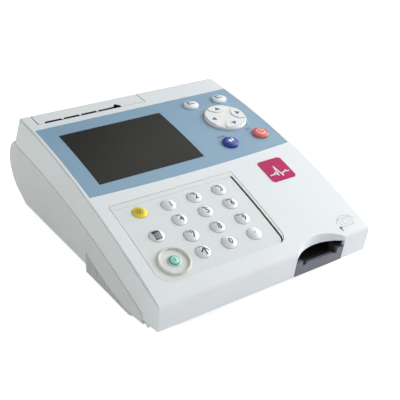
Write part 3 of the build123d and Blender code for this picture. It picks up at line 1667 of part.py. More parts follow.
# Square label by the keypad
with BuildPart() as corner_label:
    label_side = crown_strip(
        label_y - label_size, label_y + label_size, -label_thickness - glue_gap, -glue_gap
    )
    extrude(label_side, amount=half_width, both=True)
    with BuildSketch(Plane.XY.offset(front_edge_z)):
        with Locations((label_x, at_y(label_y))):
            RectangleRounded(label_size, label_size, label_radius)
    extrude(amount=crown_rear_z, mode=Mode.INTERSECT)
save(corner_label, "corner_label")
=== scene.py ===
"""Looks for the cardiac marker reader: materials, marks, fittings, light and camera."""
from math import asin, cos, pi, radians, sin, sqrt

import bmesh
import bpy
from mathutils import Matrix, Vector


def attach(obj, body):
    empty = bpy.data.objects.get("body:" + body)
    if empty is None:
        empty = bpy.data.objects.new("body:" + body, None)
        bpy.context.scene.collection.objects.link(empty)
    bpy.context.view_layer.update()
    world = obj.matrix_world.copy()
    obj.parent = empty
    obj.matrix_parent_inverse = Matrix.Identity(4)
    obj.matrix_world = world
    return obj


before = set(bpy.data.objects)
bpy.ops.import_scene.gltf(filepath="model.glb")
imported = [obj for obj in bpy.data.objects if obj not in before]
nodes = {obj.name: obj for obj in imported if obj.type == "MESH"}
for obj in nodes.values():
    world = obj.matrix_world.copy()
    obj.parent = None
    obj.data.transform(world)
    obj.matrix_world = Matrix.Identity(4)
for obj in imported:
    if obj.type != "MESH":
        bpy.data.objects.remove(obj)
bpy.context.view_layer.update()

# The crown of the case, in millimetres, as in the solid model
DEPTH = 219.4
FRONT_TOP, REAR_TOP, CROWN_Y, SAGITTA = 27.3, 78.4, 189.0, 8.05
CHORD = sqrt(CROWN_Y**2 + (REAR_TOP - FRONT_TOP) ** 2)
CROWN_R = (CHORD**2 / 4 + SAGITTA**2) / (2 * SAGITTA)
DROP = CROWN_R - SAGITTA
CROWN_CY = CROWN_Y / 2 + DROP * (REAR_TOP - FRONT_TOP) / CHORD
CROWN_CZ = (REAR_TOP + FRONT_TOP) / 2 - DROP * CROWN_Y / CHORD


def row(x, y, z):
    """A point of the row frame, in metres, from millimetres with y from the front face."""
    return Vector((x, y - DEPTH / 2, z)) / 1000


def crown(x, y, lift=0.0):
    """A point on the curved top, or a height over it."""
    angle = asin((y - CROWN_CY) / CROWN_R)
    reach = CROWN_R + lift
    return row(x, CROWN_CY + reach * sin(angle), CROWN_CZ + reach * cos(angle))


def crown_axes(y):
    """Directions on the curved top at a depth: along it to the rear, and out of it."""
    slant = (y - CROWN_CY) / CROWN_R
    rise = sqrt(1 - slant**2)
    return Vector((0, rise, -slant)), Vector((0, slant, rise))


# Materials


def principled(name):
    """A new material with its node tree, its surface shader and its object coordinates."""
    made = bpy.data.materials.new(name)
    made.use_nodes = True
    tree = made.node_tree
    shader = tree.nodes["Principled BSDF"]
    place = tree.nodes.new("ShaderNodeTexCoord")
    return made, tree, shader, place.outputs["Object"]


def noise(tree, place, scale, detail=3.0, rough=0.55):
    """A noise texture at a scale in cycles per metre."""
    node = tree.nodes.new("ShaderNodeTexNoise")
    node.inputs["Scale"].default_value = scale
    node.inputs["Detail"].default_value = detail
    node.inputs["Roughness"].default_value = rough
    tree.links.new(place, node.inputs["Vector"])
    return node.outputs["Fac"]


def spread(tree, value, low, high):
    """The middle range of a noise drawn out to a low and a high value."""
    node = tree.nodes.new("ShaderNodeMapRange")
    node.inputs["From Min"].default_value = 0.3
    node.inputs["From Max"].default_value = 0.7
    node.inputs["To Min"].default_value = low
    node.inputs["To Max"].default_value = high
    tree.links.new(value, node.inputs["Value"])
    return node.outputs["Result"]


def two_tone(tree, fac, first, second):
    """A colour between two, by a value."""
    node = tree.nodes.new("ShaderNodeMix")
    node.data_type = "RGBA"
    node.inputs["A"].default_value = (*first, 1)
    node.inputs["B"].default_value = (*second, 1)
    tree.links.new(fac, node.inputs["Factor"])
    return node.outputs["Result"]


def math_node(tree, operation, *values):
    """A Math node on sockets or numbers."""
    node = tree.nodes.new("ShaderNodeMath")
    node.operation = operation
    for socket, value in zip(node.inputs, values):
        if isinstance(value, (int, float)):
            socket.default_value = value
        else:
            tree.links.new(value, socket)
    return node.outputs[0]


def vector_node(tree, operation, place, constant=None):
    """A Vector Math node on a socket and a constant."""
    node = tree.nodes.new("ShaderNodeVectorMath")
    node.operation = operation
    tree.links.new(place, node.inputs[0])
    if constant is not None:
        node.inputs[1].default_value = constant
    return node.outputs["Value" if operation == "LENGTH" else "Vector"]


def within(tree, value, low, high):
    """One where a value lies between two numbers, else zero."""
    return math_node(tree, "COMPARE", value, (low + high) / 2, (high - low) / 2)


def axis_of(tree, place, axis):
    """One coordinate of a place, in millimetres, with y from the front face."""
    node = tree.nodes.new("ShaderNodeSeparateXYZ")
    tree.links.new(place, node.inputs[0])
    shift = DEPTH / 2 if axis == "Y" else 0.0
    return math_node(tree, "MULTIPLY_ADD", node.outputs[axis], 1000.0, shift)


def depth_of(tree, place):
    """Depth of a place under the curved top, in millimetres."""
    away = vector_node(tree, "SUBTRACT", place, row(0, CROWN_CY, CROWN_CZ))
    flat = vector_node(tree, "MULTIPLY", away, (0, 1, 1))
    reach = vector_node(tree, "LENGTH", flat)
    return math_node(tree, "MULTIPLY_ADD", reach, -1000.0, CROWN_R)


def region(tree, place, depth=None, **limits):
    """One inside a depth range and ranges of X, Y or Z, else zero."""
    parts = [within(tree, depth_of(tree, place), *depth)] if depth else []
    parts += [within(tree, axis_of(tree, place, axis), *span) for axis, span in limits.items()]
    total = parts[0]
    for part in parts[1:]:
        total = math_node(tree, "MULTIPLY", total, part)
    return total


def bump(tree, shader, height, distance, strength):
    """Bump from a height value, on the shader's normal."""
    node = tree.nodes.new("ShaderNodeBump")
    node.inputs["Distance"].default_value = distance
    node.inputs["Strength"].default_value = strength
    tree.links.new(height, node.inputs["Height"])
    tree.links.new(node.outputs["Normal"], shader.inputs["Normal"])


def plastic(
    name, colour, rough=0.45, grain=2400.0, depth=0.00002, drift=0.03, gloss=0.5, areas=()
):
    """Moulded plastic: a fine eroded grain, a slow drift of colour and of polish.

    Each area is a function that gives where it lies, and a second colour.
    """
    made, tree, shader, place = principled(name)
    slow = spread(tree, noise(tree, place, 28.0, 2.0), 0.0, 1.0)
    darker = [c * (1 - drift) for c in colour]
    lighter = [min(1.0, c * (1 + drift)) for c in colour]
    tone = two_tone(tree, slow, darker, lighter)
    for where, second in areas:
        mixed = tree.nodes.new("ShaderNodeMix")
        mixed.data_type = "RGBA"
        tree.links.new(where(tree, place), mixed.inputs["Factor"])
        tree.links.new(tone, mixed.inputs["A"])
        mixed.inputs["B"].default_value = (*second, 1)
        tone = mixed.outputs["Result"]
    tree.links.new(tone, shader.inputs["Base Color"])
    polish = noise(tree, place, 90.0, 4.0)
    tree.links.new(spread(tree, polish, rough - 0.05, rough + 0.05), shader.inputs["Roughness"])
    shader.inputs["Specular IOR Level"].default_value = gloss
    bump(tree, shader, noise(tree, place, grain, 2.0, 0.6), depth, 0.6)
    return made


def metal(name, colour, rough, stretch=(1, 1, 1)):
    """Brushed metal: a grain drawn out along one axis, with small stains."""
    made, tree, shader, place = principled(name)
    shader.inputs["Metallic"].default_value = 1.0
    mapping = tree.nodes.new("ShaderNodeMapping")
    mapping.inputs["Scale"].default_value = stretch
    tree.links.new(place, mapping.inputs["Vector"])
    lines = noise(tree, mapping.outputs["Vector"], 900.0, 4.0, 0.7)
    stain = spread(tree, noise(tree, place, 60.0, 3.0), 0.0, 1.0)
    tone = two_tone(tree, stain, [c * 0.9 for c in colour], [min(1, c * 1.06) for c in colour])
    tree.links.new(tone, shader.inputs["Base Color"])
    tree.links.new(spread(tree, lines, rough - 0.1, rough + 0.12), shader.inputs["Roughness"])
    bump(tree, shader, lines, 0.00001, 0.5)
    return made


def ink(name, colour):
    """Pad-printed ink: a thin film with slightly uneven cover."""
    made, tree, shader, place = principled(name)
    cover = spread(tree, noise(tree, place, 1500.0, 3.0), 0.0, 1.0)
    tone = two_tone(tree, cover, [c * 0.92 for c in colour], [min(1, c * 1.08) for c in colour])
    tree.links.new(tone, shader.inputs["Base Color"])
    shader.inputs["Roughness"].default_value = 0.5
    return made


def rubber(name, colour):
    """Soft rubber: dark, grainy, with a dusty sheen."""
    made, tree, shader, place = principled(name)
    grain = noise(tree, place, 1600.0, 5.0, 0.7)
    tone = two_tone(
        tree, spread(tree, noise(tree, place, 70.0), 0, 1), colour, [c * 1.5 for c in colour]
    )
    tree.links.new(tone, shader.inputs["Base Color"])
    tree.links.new(spread(tree, grain, 0.7, 0.9), shader.inputs["Roughness"])
    shader.inputs["Sheen Weight"].default_value = 0.15
    bump(tree, shader, grain, 0.00004, 0.8)
    return made


# Places in millimetres: keys, and the ranges that hold the printer cover's walls, where shade is
# painted
KEY_COLUMNS = (-37.2, -17.4, 2.4)
KEY_ROWS = (63.0, 49.8, 36.3, 23.4)
SIDE_X, SIDE_ROWS = -57.9, (63.9, 43.6, 23.8)
COVER_FRONT = 174.0
COVER_WALL_Y, COVER_WALL_DEPTH = (COVER_FRONT, 190.0), (0.3, 9.0)
RING_REACH, RING_DEPTH = (0.0085, 0.0108), (-2.0, 0.55)
# Colour of the shade painted into gaps and slot walls
SHADOW = (0.018, 0.02, 0.017)


def cover_gap(tree, place):
    """Wall of the top cover along the right of the printer cover, where shade is painted."""
    return region(tree, place, COVER_WALL_DEPTH, X=(12.1, 12.8), Y=COVER_WALL_Y)


def slot_walls(tree, place):
    """Walls of the paper slot in the printer cover, where shade is painted."""
    return region(tree, place, (0.25, 30.0), X=(-70.6, -7.9), Y=(COVER_FRONT, 181.0))


def cover_side(tree, place):
    """Left wall of the printer cover, where shade is painted."""
    return region(tree, place, COVER_WALL_DEPTH, X=(-75.5, -74.7), Y=COVER_WALL_Y)


def keypad_gaps(tree, place):
    """Walls and floor of the gap along the right of the keypad panel, where shade is painted."""
    return region(tree, place, (0.8, 12.0), X=(13.0, 26.0), Y=(8.0, 80.0))


def ring_body(tree, place):
    """Raised ring round the power key."""
    out = crown_axes(SIDE_ROWS[2])[1]
    away = vector_node(tree, "SUBTRACT", place, crown(SIDE_X, SIDE_ROWS[2]))
    turned = vector_node(tree, "CROSS_PRODUCT", away, out)
    near = within(tree, vector_node(tree, "LENGTH", turned), *RING_REACH)
    return math_node(tree, "MULTIPLY", near, region(tree, place, RING_DEPTH))


def tray_inside(tree, place):
    """Tray behind its front wall, where shade is painted."""
    return region(tree, place, Y=(3.5, 40.0))


SHELL = (0.80, 0.825, 0.835)
TRAY = (0.13, 0.13, 0.165)
# The top cover has painted shade on its wall along the printer cover
shell_white = plastic("shell_white", SHELL, 0.5, drift=0.012, areas=[(cover_gap, SHADOW)])
# Painted shade on the paper slot's walls and on the printer cover's left wall
cover_shade_areas = [(slot_walls, SHADOW), (cover_side, SHADOW)]
cover_white = plastic("cover_white", SHELL, 0.5, drift=0.012, areas=cover_shade_areas)
shell_low = plastic("shell_low", (0.72, 0.715, 0.73), 0.55, drift=0.015)
key_white = plastic("key_white", (0.80, 0.82, 0.83), 0.34, drift=0.01)
# The keypad panel has painted shade in the gap along its right
keypad_grey = plastic(
    "keypad_grey", (0.745, 0.78, 0.765), 0.42, drift=0.01,
    areas=[(keypad_gaps, (0.05, 0.055, 0.035)), (ring_body, (0.70, 0.66, 0.57))],
)
panel_blue = plastic("panel_blue", (0.246, 0.387, 0.514), 0.42, 3000.0, 0.000008, 0.02, 0.4)
nav_white = plastic("nav_white", (0.80, 0.80, 0.775), 0.36, drift=0.01)
yellow = plastic("key_yellow", (0.86, 0.68, 0.06), 0.35)
mint = plastic("key_mint", (0.72, 0.78, 0.77), 0.34)
blue_key = plastic("key_blue", (0.035, 0.06, 0.32), 0.22, depth=0.000006)
red_key = plastic("key_red", (0.74, 0.14, 0.12), 0.25, depth=0.000006)
# Painted shade inside the tray, behind its front wall
tray_shade_areas = [(tray_inside, (0.05, 0.052, 0.048))]
tray_grey = plastic("tray_grey", TRAY, 0.5, areas=tray_shade_areas)
socket_grey = plastic("socket_grey", TRAY, 0.5)
black = plastic("black_plastic", (0.03, 0.03, 0.028), 0.5)
acetal = plastic("acetal", (0.78, 0.76, 0.69), 0.38)
magenta = plastic("label_magenta", (0.50, 0.012, 0.112), 0.4, 3200.0, 0.000004, 0.02, 0.15)
steel = metal("steel", (0.62, 0.62, 0.61), 0.34, (1, 12, 1))
bright_steel = metal("bright_steel", (0.72, 0.72, 0.71), 0.24, (10, 1, 1))
gold = metal("gold_contact", (0.83, 0.63, 0.25), 0.25)
motor_metal = metal("motor_metal", (0.5, 0.5, 0.51), 0.4, (1, 1, 14))
foot_rubber = rubber("foot_rubber", (0.03, 0.03, 0.032))
platen_rubber = rubber("platen_rubber", (0.05, 0.05, 0.052))
dark_ink = ink("dark_ink", (0.04, 0.043, 0.06))
grey_ink = ink("grey_ink", (0.42, 0.44, 0.45))
blue_ink = ink("blue_ink", (0.06, 0.13, 0.32))
white_ink = ink("white_ink", (0.85, 0.87, 0.9))
pale_ink = ink("pale_ink", (0.85, 0.52, 0.47))
olive_ink = ink("olive_ink", (0.11, 0.09, 0.01))
green_ink = ink("green_ink", (0.035, 0.37, 0.22))
mint_ink = ink("mint_ink", (0.40, 0.76, 0.62))

# Display lens: dark and anti-glare, with a slow drift of tone
lens, tree, shader, place = principled("display_lens")
drift = spread(tree, noise(tree, place, 12.0, 1.0), 0.0, 1.0)
tree.links.new(
    two_tone(tree, drift, (0.028, 0.027, 0.024), (0.036, 0.035, 0.031)), shader.inputs["Base Color"]
)
shader.inputs["Specular IOR Level"].default_value = 0.08
tree.links.new(
    spread(tree, noise(tree, place, 4000.0, 2.0), 0.3, 0.38), shader.inputs["Roughness"]
)

# Circuit board: green mask with a fine pattern of lighter lines
board_green, tree, shader, place = principled("board_green")
brick = tree.nodes.new("ShaderNodeTexBrick")
brick.inputs["Scale"].default_value = 160.0
brick.inputs["Mortar Size"].default_value = 0.03
brick.inputs["Color1"].default_value = (0.012, 0.12, 0.045, 1)
brick.inputs["Color2"].default_value = (0.016, 0.14, 0.055, 1)
brick.inputs["Mortar"].default_value = (0.06, 0.27, 0.12, 1)
tree.links.new(place, brick.inputs["Vector"])
tree.links.new(brick.outputs["Color"], shader.inputs["Base Color"])
shader.inputs["Roughness"].default_value = 0.35
bump(tree, shader, brick.outputs["Fac"], 0.00004, 0.4)

# Paper: matt white, wound in layers that show as rings on the roll's ends
paper, tree, shader, place = principled("paper")
roll_middle = row(-39.25, 195.7, 33.5)
shift = tree.nodes.new("ShaderNodeMapping")
shift.inputs["Location"].default_value = -roll_middle
shift.inputs["Scale"].default_value = (0, 1, 1)
shift.vector_type = "POINT"
tree.links.new(place, shift.inputs["Vector"])
rings = tree.nodes.new("ShaderNodeTexWave")
rings.wave_type = "RINGS"
rings.rings_direction = "SPHERICAL"
rings.inputs["Scale"].default_value = 900.0
rings.inputs["Distortion"].default_value = 0.4
tree.links.new(shift.outputs["Vector"], rings.inputs["Vector"])
tree.links.new(
    two_tone(tree, rings.outputs["Fac"], (0.76, 0.75, 0.72), (0.86, 0.855, 0.83)),
    shader.inputs["Base Color"],
)
shader.inputs["Roughness"].default_value = 0.85
bump(tree, shader, rings.outputs["Fac"], 0.00003, 0.5)

finish = {
    "top_cover": shell_white,
    "printer_cover": cover_white,
    "bottom_case": shell_low,
    "base_plinth": shell_low,
    "battery_door": shell_low,
    "display_fascia": panel_blue,
    "display_lens": lens,
    "lcd_module": steel,
    "keypad_panel": keypad_grey,
    "key_light": yellow,
    "key_power": mint,
    "key_enter": blue_key,
    "key_exit": red_key,
    "nav_pad": nav_white,
    "nav_ball": bright_steel,
    "nav_post": acetal,
    "keypad_board": board_green,
    "control_board": board_green,
    "main_board": board_green,
    "key_switches": black,
    "batteries": motor_metal,
    "battery_contacts": bright_steel,
    "chip_socket": socket_grey,
    "code_chip": black,
    "cover_hinge_pin": bright_steel,
    "printer_frame": steel,
    "print_head": black,
    "platen_roller": platen_rubber,
    "platen_gear": acetal,
    "motor_pinion": acetal,
    "feed_motor": motor_metal,
    "paper_roll": paper,
    "roll_spindle": acetal,
    "port_tray": tray_grey,
    "cassette_guide": black,
    "cassette_carriage": black,
    "lead_screw": bright_steel,
    "carriage_motor": motor_metal,
    "optics_block": black,
    "dc_jack": black,
    "serial_port": bright_steel,
    "case_screws": bright_steel,
    "rubber_feet": foot_rubber,
    "corner_label": magenta,
    "connector_bay": shell_low,
}
for name, node in nodes.items():
    node.data.materials.clear()
    node.data.materials.append(finish.get(name, key_white))

# Printed marks: flat shapes laid on a surface, cut fine enough to follow it


def new_object(name, mesh_data, material, body):
    """A mesh in the scene, with its material, on a body."""
    made = bpy.data.objects.new(name, mesh_data)
    bpy.context.scene.collection.objects.link(made)
    mesh_data.materials.append(material)
    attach(made, body)
    return made


LIFT = 0.06
MARK_STEP, MARK_CUTS = 1.0, 4


def printed(name, body, material, shapes, place):
    """Shapes in millimetres, as lists of (u, v), laid on a surface by a function."""
    built = bmesh.new()
    for shape in shapes:
        built.faces.new([built.verts.new((u, v, 0)) for u, v in shape])
    bmesh.ops.triangulate(built, faces=built.faces[:])
    for _ in range(MARK_CUTS):
        long_edges = [e for e in built.edges if e.calc_length() > MARK_STEP]
        if not long_edges:
            break
        bmesh.ops.subdivide_edges(built, edges=long_edges, cuts=1)
        bmesh.ops.triangulate(built, faces=built.faces[:])
    for vertex in built.verts:
        vertex.co = place(vertex.co.x, vertex.co.y)
    bmesh.ops.recalc_face_normals(built, faces=built.faces[:])
    mesh_data = bpy.data.meshes.new(name)
    built.to_mesh(mesh_data)
    built.free()
    return new_object(name, mesh_data, material, body)


def letters(words, size, weight):
    """The faces of a line of text about its middle, as shapes, with its strokes swollen."""
    curve = bpy.data.curves.new("letters", "FONT")
    curve.body = words
    curve.size = size
    curve.offset = weight
    curve.align_x = "CENTER"
    curve.align_y = "CENTER"
    curve.resolution_u = 3
    holder = bpy.data.objects.new("letters", curve)
    bpy.context.scene.collection.objects.link(holder)
    bpy.context.view_layer.update()
    flat = bpy.data.meshes.new_from_object(holder)
    shapes = [[tuple(flat.vertices[i].co[:2]) for i in face.vertices] for face in flat.polygons]
    bpy.data.objects.remove(holder)
    bpy.data.curves.remove(curve)
    bpy.data.meshes.remove(flat)
    return shapes


def moved(shapes, du, dv):
    """The same shapes, shifted."""
    return [[(u + du, v + dv) for u, v in shape] for shape in shapes]


def ring(radius, width, start=0.0, end=360.0, pieces=32):
    """A ring or an arc of a ring, as four-sided shapes."""
    shapes = []
    for i in range(pieces):
        a = radians(start + (end - start) * i / pieces)
        b = radians(start + (end - start) * (i + 1) / pieces)
        inner = radius - width
        shapes.append(
            [
                (inner * cos(a), inner * sin(a)),
                (radius * cos(a), radius * sin(a)),
                (radius * cos(b), radius * sin(b)),
                (inner * cos(b), inner * sin(b)),
            ]
        )
    return shapes


def disc(radius, u=0.0, v=0.0, pieces=20):
    """A filled circle as one shape."""
    return [
        [
            (u + radius * cos(2 * pi * i / pieces), v + radius * sin(2 * pi * i / pieces))
            for i in range(pieces)
        ]
    ]


def bar(u0, v0, u1, v1):
    """An upright rectangle as one shape."""
    return [[(u0, v0), (u1, v0), (u1, v1), (u0, v1)]]


def line(points, width):
    """A line through points, as one four-sided shape for each run."""
    shapes = []
    for (u0, v0), (u1, v1) in zip(points, points[1:]):
        run = Vector((u1 - u0, v1 - v0)).normalized() * width / 2
        shapes.append(
            [
                (u0 - run.x - run.y, v0 - run.y + run.x),
                (u0 - run.x + run.y, v0 - run.y - run.x),
                (u1 + run.x + run.y, v1 + run.y - run.x),
                (u1 + run.x - run.y, v1 + run.y + run.x),
            ]
        )
    return shapes


# Caps of the keys: radius, height of the apex and of the edge over the crown
KEY_CAP = (5.0, 1.1, -0.3)
POWER_CAP = (4.3, 1.1, -0.3)
SOFT_CAP = (5.8, 2.3, 1.1)
ROUND_CAP = (6.0, 2.3, 1.1)


def on_dome(x, y, cap, lift=LIFT):
    """Lays (u, v) on the domed cap of a key at a place on the crown."""
    radius, apex, edge = cap
    rise = apex - edge
    dome = (radius**2 + rise**2) / (2 * rise)
    along, out = crown_axes(y)

    def place(u, v):
        height = apex - dome + sqrt(dome**2 - u**2 - v**2) + lift
        return crown(x, y) + (Vector((u, 0, 0)) + v * along + height * out) / 1000

    return place


def on_crown(x, y, lift=LIFT):
    """Lays (u, v) on the crown round a place."""
    return lambda u, v: crown(x + u, y + v * crown_axes(y)[0].y, lift)


def key_top(x, y, lift=LIFT):
    """Lays (u, v) on a key of the keypad."""
    return on_dome(x, y, KEY_CAP, lift)


def digit(number, x, y, du, dv):
    """The number on a key of the keypad."""
    marks = moved(letters(str(number), 6.0, 0.15), du, dv)
    printed(f"digit_{number}", f"key_{number}", dark_ink, marks, key_top(x, y))


captions = ("", "ABC", "DEF", "GHI", "JKL", "MNO", "PQRS", "TUV", "WXYZ")
for i in range(9):
    x, y = KEY_COLUMNS[i % 3], KEY_ROWS[i // 3]
    digit(i + 1, x, y, 0.9, -0.7)
    if captions[i]:
        marks = moved(letters(captions[i], 1.9, 0.07), 0.1, 2.7)
        printed(f"letters_{i + 1}", f"key_{i + 1}", dark_ink, marks, key_top(x, y))
x, y = KEY_COLUMNS[1], KEY_ROWS[3]
digit(0, x, y, 0.8, -0.2)
x = KEY_COLUMNS[2]
printed("point_mark", "key_point", dark_ink, disc(0.5), key_top(x, y))
x = KEY_COLUMNS[0]
arrow = line([(-1.5, -0.6), (0.9, 1.9), (3.3, -0.6)], 1.0) + bar(0.35, -3.4, 1.45, 1.6)
printed("shift_arrow", "key_shift", dark_ink, arrow, key_top(x, y))
printed("shift_line", "key_shift", dark_ink, bar(-1.8, 2.9, 1.6, 3.4), key_top(x, y))

y = SIDE_ROWS[0]
rays = disc(0.8)
for i in range(8):
    turn = radians(45 * i + 22.5)
    rays += disc(0.5, 1.8 * cos(turn), 1.8 * sin(turn), 10)
    rays += disc(0.36, 3.0 * cos(turn), 3.0 * sin(turn), 10)
printed("sun_mark", "key_light", olive_ink, rays, key_top(SIDE_X, y))

y = SIDE_ROWS[1]
sheet = bar(-2.0, -3.3, 2.0, 3.0)
printed("printer_sheet", "key_print", grey_ink, sheet, key_top(SIDE_X, y))
body = line([(-2.0, -3.3), (2.0, -3.3), (2.0, 2.9), (-2.0, 2.9), (-2.0, -3.3)], 0.6)
body += bar(-2.6, 1.3, 2.6, 3.4) + bar(-1.2, 0.0, 1.3, 0.5) + bar(-1.2, -1.3, 1.3, -0.8)
body += bar(-1.2, -2.4, 1.3, -2.0)
printed("printer_body", "key_print", dark_ink, body, key_top(SIDE_X, y, 2 * LIFT))

y = SIDE_ROWS[2]
power_top = on_dome(SIDE_X, y, POWER_CAP)
power_over = on_dome(SIDE_X, y, POWER_CAP, 2 * LIFT)
printed("power_field", "key_power", mint_ink, disc(3.6, pieces=40), power_top)
printed("power_ring", "key_power", green_ink, ring(3.7, 0.8), power_over)
printed("power_bar", "key_power", green_ink, bar(-0.3, -1.3, 0.3, 1.3), power_over)

# Marks on the controls of the blue panel
SOFT = ((40.9, 154.4), (67.0, 154.1))
for side, (x, y) in zip(("left", "right"), SOFT):
    top = on_dome(x, y, SOFT_CAP)
    mark = line([(2.6, 3.0), (-2.2, 3.0), (-2.2, -1.0), (2.6, -1.0)], 0.9)
    printed(f"soft_mark_{side}", f"soft_key_{side}", blue_ink, mark, top)
x, y = 39.5, 100.8
top = on_dome(x, y, ROUND_CAP)
mark = [[(-2.6, 0.0), (0.0, -1.9), (0.0, 1.9)]] + line([(0.0, 0.0), (2.2, 0.0), (2.2, 2.4)], 1.1)
printed("enter_mark", "key_enter", white_ink, mark, top)
x, y = 68.0, 102.3
top = on_dome(x, y, ROUND_CAP)
mark = ring(3.5, 1.0) + bar(-1.2, -0.4, 1.2, 0.4)
printed("exit_mark", "key_exit", pale_ink, mark, top)

NAV, LOBE_HEIGHT = (54.8, 128.8), 2.2


def on_lobe(u, v):
    """Lays (u, v) on the lobes of the rocker pad."""
    along, out = crown_axes(NAV[1])
    return crown(*NAV) + (Vector((u, 0, 0)) + v * along + (LOBE_HEIGHT + LIFT) * out) / 1000


arrows = (((-0.6, 10.8), 0), ((11.6, 0.6), -90), ((-10.8, -0.6), 90), ((0.6, -10.6), 180))
for i, ((du, dv), turn) in enumerate(arrows):
    a = radians(turn)
    corners = [(-2.4, -1.6), (2.4, -1.6), (0, 2.2)]
    mark = [[(du + p * cos(a) - q * sin(a), dv + p * sin(a) + q * cos(a)) for p, q in corners]]
    printed(f"nav_arrow_{i + 1}", "rocker_pad", blue_ink, mark, on_lobe)

# Plain pulse trace on the square label
LABEL, LABEL_LIFT = (53.4, 64.6), 0.3
trace = [(-8, -4), (-4.4, -4), (-3.4, -2.4), (-2.2, -5.6), (-0.6, 3.2), (0.9, -7), (2.2, -4)]
trace += [(4.4, -4), (5.4, -2.8), (6.2, -4), (8, -4)]
printed("label_trace", "case", white_ink, line(trace, 0.9), on_crown(*LABEL, LABEL_LIFT))

# Cassette outline under an arc, with an arrow, printed over the port
PICTOGRAM = (69.7, 7.4)
mark = line([(-5, 5.5), (-5, -1), (5, -1), (5, 5.5), (-5, 5.5)], 0.35)
mark += line([(-2.2, 4), (-2.2, 0.8), (2.2, 0.8), (2.2, 4), (-2.2, 4)], 0.3)
mark += moved(ring(9, 0.35, 25, 155, 18), 0, -1.2)
printed("port_mark", "case", grey_ink, mark, on_crown(*PICTOGRAM))
mark = [[(-8.4, -1.6), (-5.6, -1.6), (-7.0, 0.4)]] + bar(-7.4, -3.8, -6.6, -1.6)
printed("port_arrow", "case", dark_ink, mark, on_crown(*PICTOGRAM))

# Function names by the two round keys
for words, x, y in (("ENTER", 37.3, 109.4), ("EXIT", 62.6, 110.6)):
    marks = letters(words, 2.2, 0.03)
    printed(f"caption_{words.lower()}", "case", blue_ink, marks, on_crown(x, y))

# Data connector: pins, jack nuts, and black discs that paint the shade in the nuts' bores
SERIAL_X, RECESS_Y, RECESS_Z = 23.0, 209.0, 25.0
PIN_PITCH, PIN_ROW, NUT_REACH = 2.74, 1.42, 12.5


def rods(name, body, material, places, radius, start, end, sides=12, cap=0.0):
    """Rods along Y at (x, z) places, between two distances from the front face."""
    built = bmesh.new()
    for x, z in places:
        levels = [(start, radius), (end - cap, radius)]
        if cap:
            levels.append((end, radius - cap))
        loops = []
        for y, size in levels:
            loops.append(
                [
                    built.verts.new(row(x + size * cos(turn), y, z + size * sin(turn)))
                    for turn in (2 * pi * i / sides for i in range(sides))
                ]
            )
        for low, high in zip(loops, loops[1:]):
            for i in range(sides):
                j = (i + 1) % sides
                built.faces.new((low[i], low[j], high[j], high[i]))
        built.faces.new(loops[0])
        built.faces.new(loops[-1])
    bmesh.ops.recalc_face_normals(built, faces=built.faces[:])
    mesh_data = bpy.data.meshes.new(name)
    built.to_mesh(mesh_data)
    built.free()
    return new_object(name, mesh_data, material, body)


pins = [(SERIAL_X + PIN_PITCH * (i - 2), RECESS_Z + PIN_ROW) for i in range(5)]
pins += [(SERIAL_X + PIN_PITCH * (i - 1.5), RECESS_Z - PIN_ROW) for i in range(4)]
rods("serial_pins", "case", gold, pins, 0.5, RECESS_Y + 0.9, RECESS_Y + 4.6, cap=0.2)
nuts = [(SERIAL_X - NUT_REACH, RECESS_Z), (SERIAL_X + NUT_REACH, RECESS_Z)]
rods("serial_nuts", "case", bright_steel, nuts, 2.6, RECESS_Y + 1.05, RECESS_Y + 4.6, 6, 0.3)
# Black discs: painted shade in the bores of the jack nuts
rods("serial_nut_bore_shade", "case", black, nuts, 1.3, RECESS_Y + 4.5, RECESS_Y + 4.65, 16)

# Camera at the photograph's place
camera = bpy.data.objects.new("camera", bpy.data.cameras.new("camera"))
camera.data.lens = 67.2255
camera.data.sensor_width = 36.0
camera.data.clip_start = 0.01
camera.data.clip_end = 20.0
right = Vector((0.8254, -0.5643, 0.0121))
up = Vector((0.2557, 0.3930, 0.8833))
back = Vector((-0.5032, -0.7260, 0.4687))
turn = Matrix((right, up, back)).transposed().to_4x4()
camera.matrix_world = Matrix.Translation((-0.2608, -0.4045, 0.2790)) @ turn
bpy.context.scene.collection.objects.link(camera)
bpy.context.scene.camera = camera

# Pale floor, soft light
floor_data = bpy.data.meshes.new("floor")
FLOOR_HALF = 6
corners = [(-1, -1), (1, -1), (1, 1), (-1, 1)]
corners = [(u * FLOOR_HALF, v * FLOOR_HALF, 0) for u, v in corners]
floor_data.from_pydata(corners, [], [(0, 1, 2, 3)])
floor = bpy.data.objects.new("floor", floor_data)
bpy.context.scene.collection.objects.link(floor)
floor_look = bpy.data.materials.new("floor")
floor_look.use_nodes = True
tree = floor_look.node_tree
tree.nodes.clear()
surface = tree.nodes.new("ShaderNodeOutputMaterial")
diffuse = tree.nodes.new("ShaderNodeBsdfDiffuse")
diffuse.inputs["Color"].default_value = (0.82, 0.825, 0.835, 1)
glow = tree.nodes.new("ShaderNodeEmission")
glow.inputs["Strength"].default_value = 0.75
both = tree.nodes.new("ShaderNodeAddShader")
choose = tree.nodes.new("ShaderNodeMixShader")
rays = tree.nodes.new("ShaderNodeLightPath")
seen = tree.nodes.new("ShaderNodeMath")
seen.operation = "MAXIMUM"
tree.links.new(rays.outputs["Is Camera Ray"], seen.inputs[0])
tree.links.new(rays.outputs["Is Glossy Ray"], seen.inputs[1])
tree.links.new(diffuse.outputs[0], both.inputs[0])
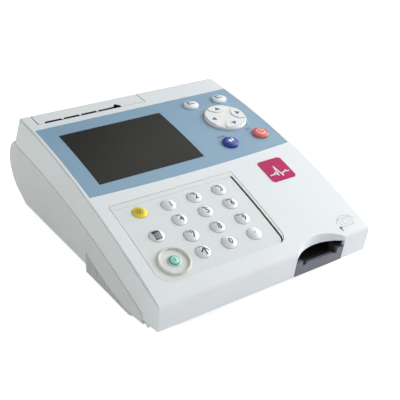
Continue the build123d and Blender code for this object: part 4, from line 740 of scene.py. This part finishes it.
tree.links.new(glow.outputs[0], both.inputs[1])
tree.links.new(seen.outputs[0], choose.inputs["Fac"])
tree.links.new(diffuse.outputs[0], choose.inputs[1])
tree.links.new(both.outputs[0], choose.inputs[2])
tree.links.new(choose.outputs[0], surface.inputs["Surface"])
floor_data.materials.append(floor_look)

world = bpy.data.worlds.new("world")
bpy.context.scene.world = world
world.use_nodes = True
tree = world.node_tree
tree.nodes.clear()
surface = tree.nodes.new("ShaderNodeOutputWorld")
shade = tree.nodes.new("ShaderNodeBackground")
shade.inputs["Color"].default_value = (0.92, 0.947, 1.0, 1)
shade.inputs["Strength"].default_value = 0.15
white = tree.nodes.new("ShaderNodeBackground")
white.inputs["Color"].default_value = (1, 1, 1, 1)
white.inputs["Strength"].default_value = 1.0
choose = tree.nodes.new("ShaderNodeMixShader")
rays = tree.nodes.new("ShaderNodeLightPath")
tree.links.new(rays.outputs["Is Camera Ray"], choose.inputs["Fac"])
tree.links.new(shade.outputs[0], choose.inputs[1])
tree.links.new(white.outputs[0], choose.inputs[2])
tree.links.new(choose.outputs[0], surface.inputs["Surface"])


LAMP_AIM = (0, 0, 0.03)


def soft_box(name, place, size, power, colour):
    """A square area lamp that looks at the middle of the part."""
    data = bpy.data.lights.new(name, "AREA")
    data.shape = "SQUARE"
    data.size = size
    data.energy = power
    data.color = colour
    lamp = bpy.data.objects.new(name, data)
    lamp.location = place
    away = Vector(place) - Vector(LAMP_AIM)
    lamp.rotation_euler = away.to_track_quat("Z", "Y").to_euler()
    bpy.context.scene.collection.objects.link(lamp)


soft_box("right_box", (1.2, -0.3, 0.45), 1.0, 23.6, (0.994, 0.985, 1.0))
soft_box("rear_box", (0.75, 0.35, 0.85), 0.9, 4.87, (0.951, 1.0, 0.998))
soft_box("left_box", (-1.2, -0.1, 0.5), 1.0, 5.97, (0.963, 1.0, 0.937))
soft_box("front_box", (0.25, -1.3, 0.5), 1.0, 3.1, (0.911, 0.951, 1.0))

bpy.context.scene.view_settings.view_transform = "Standard"
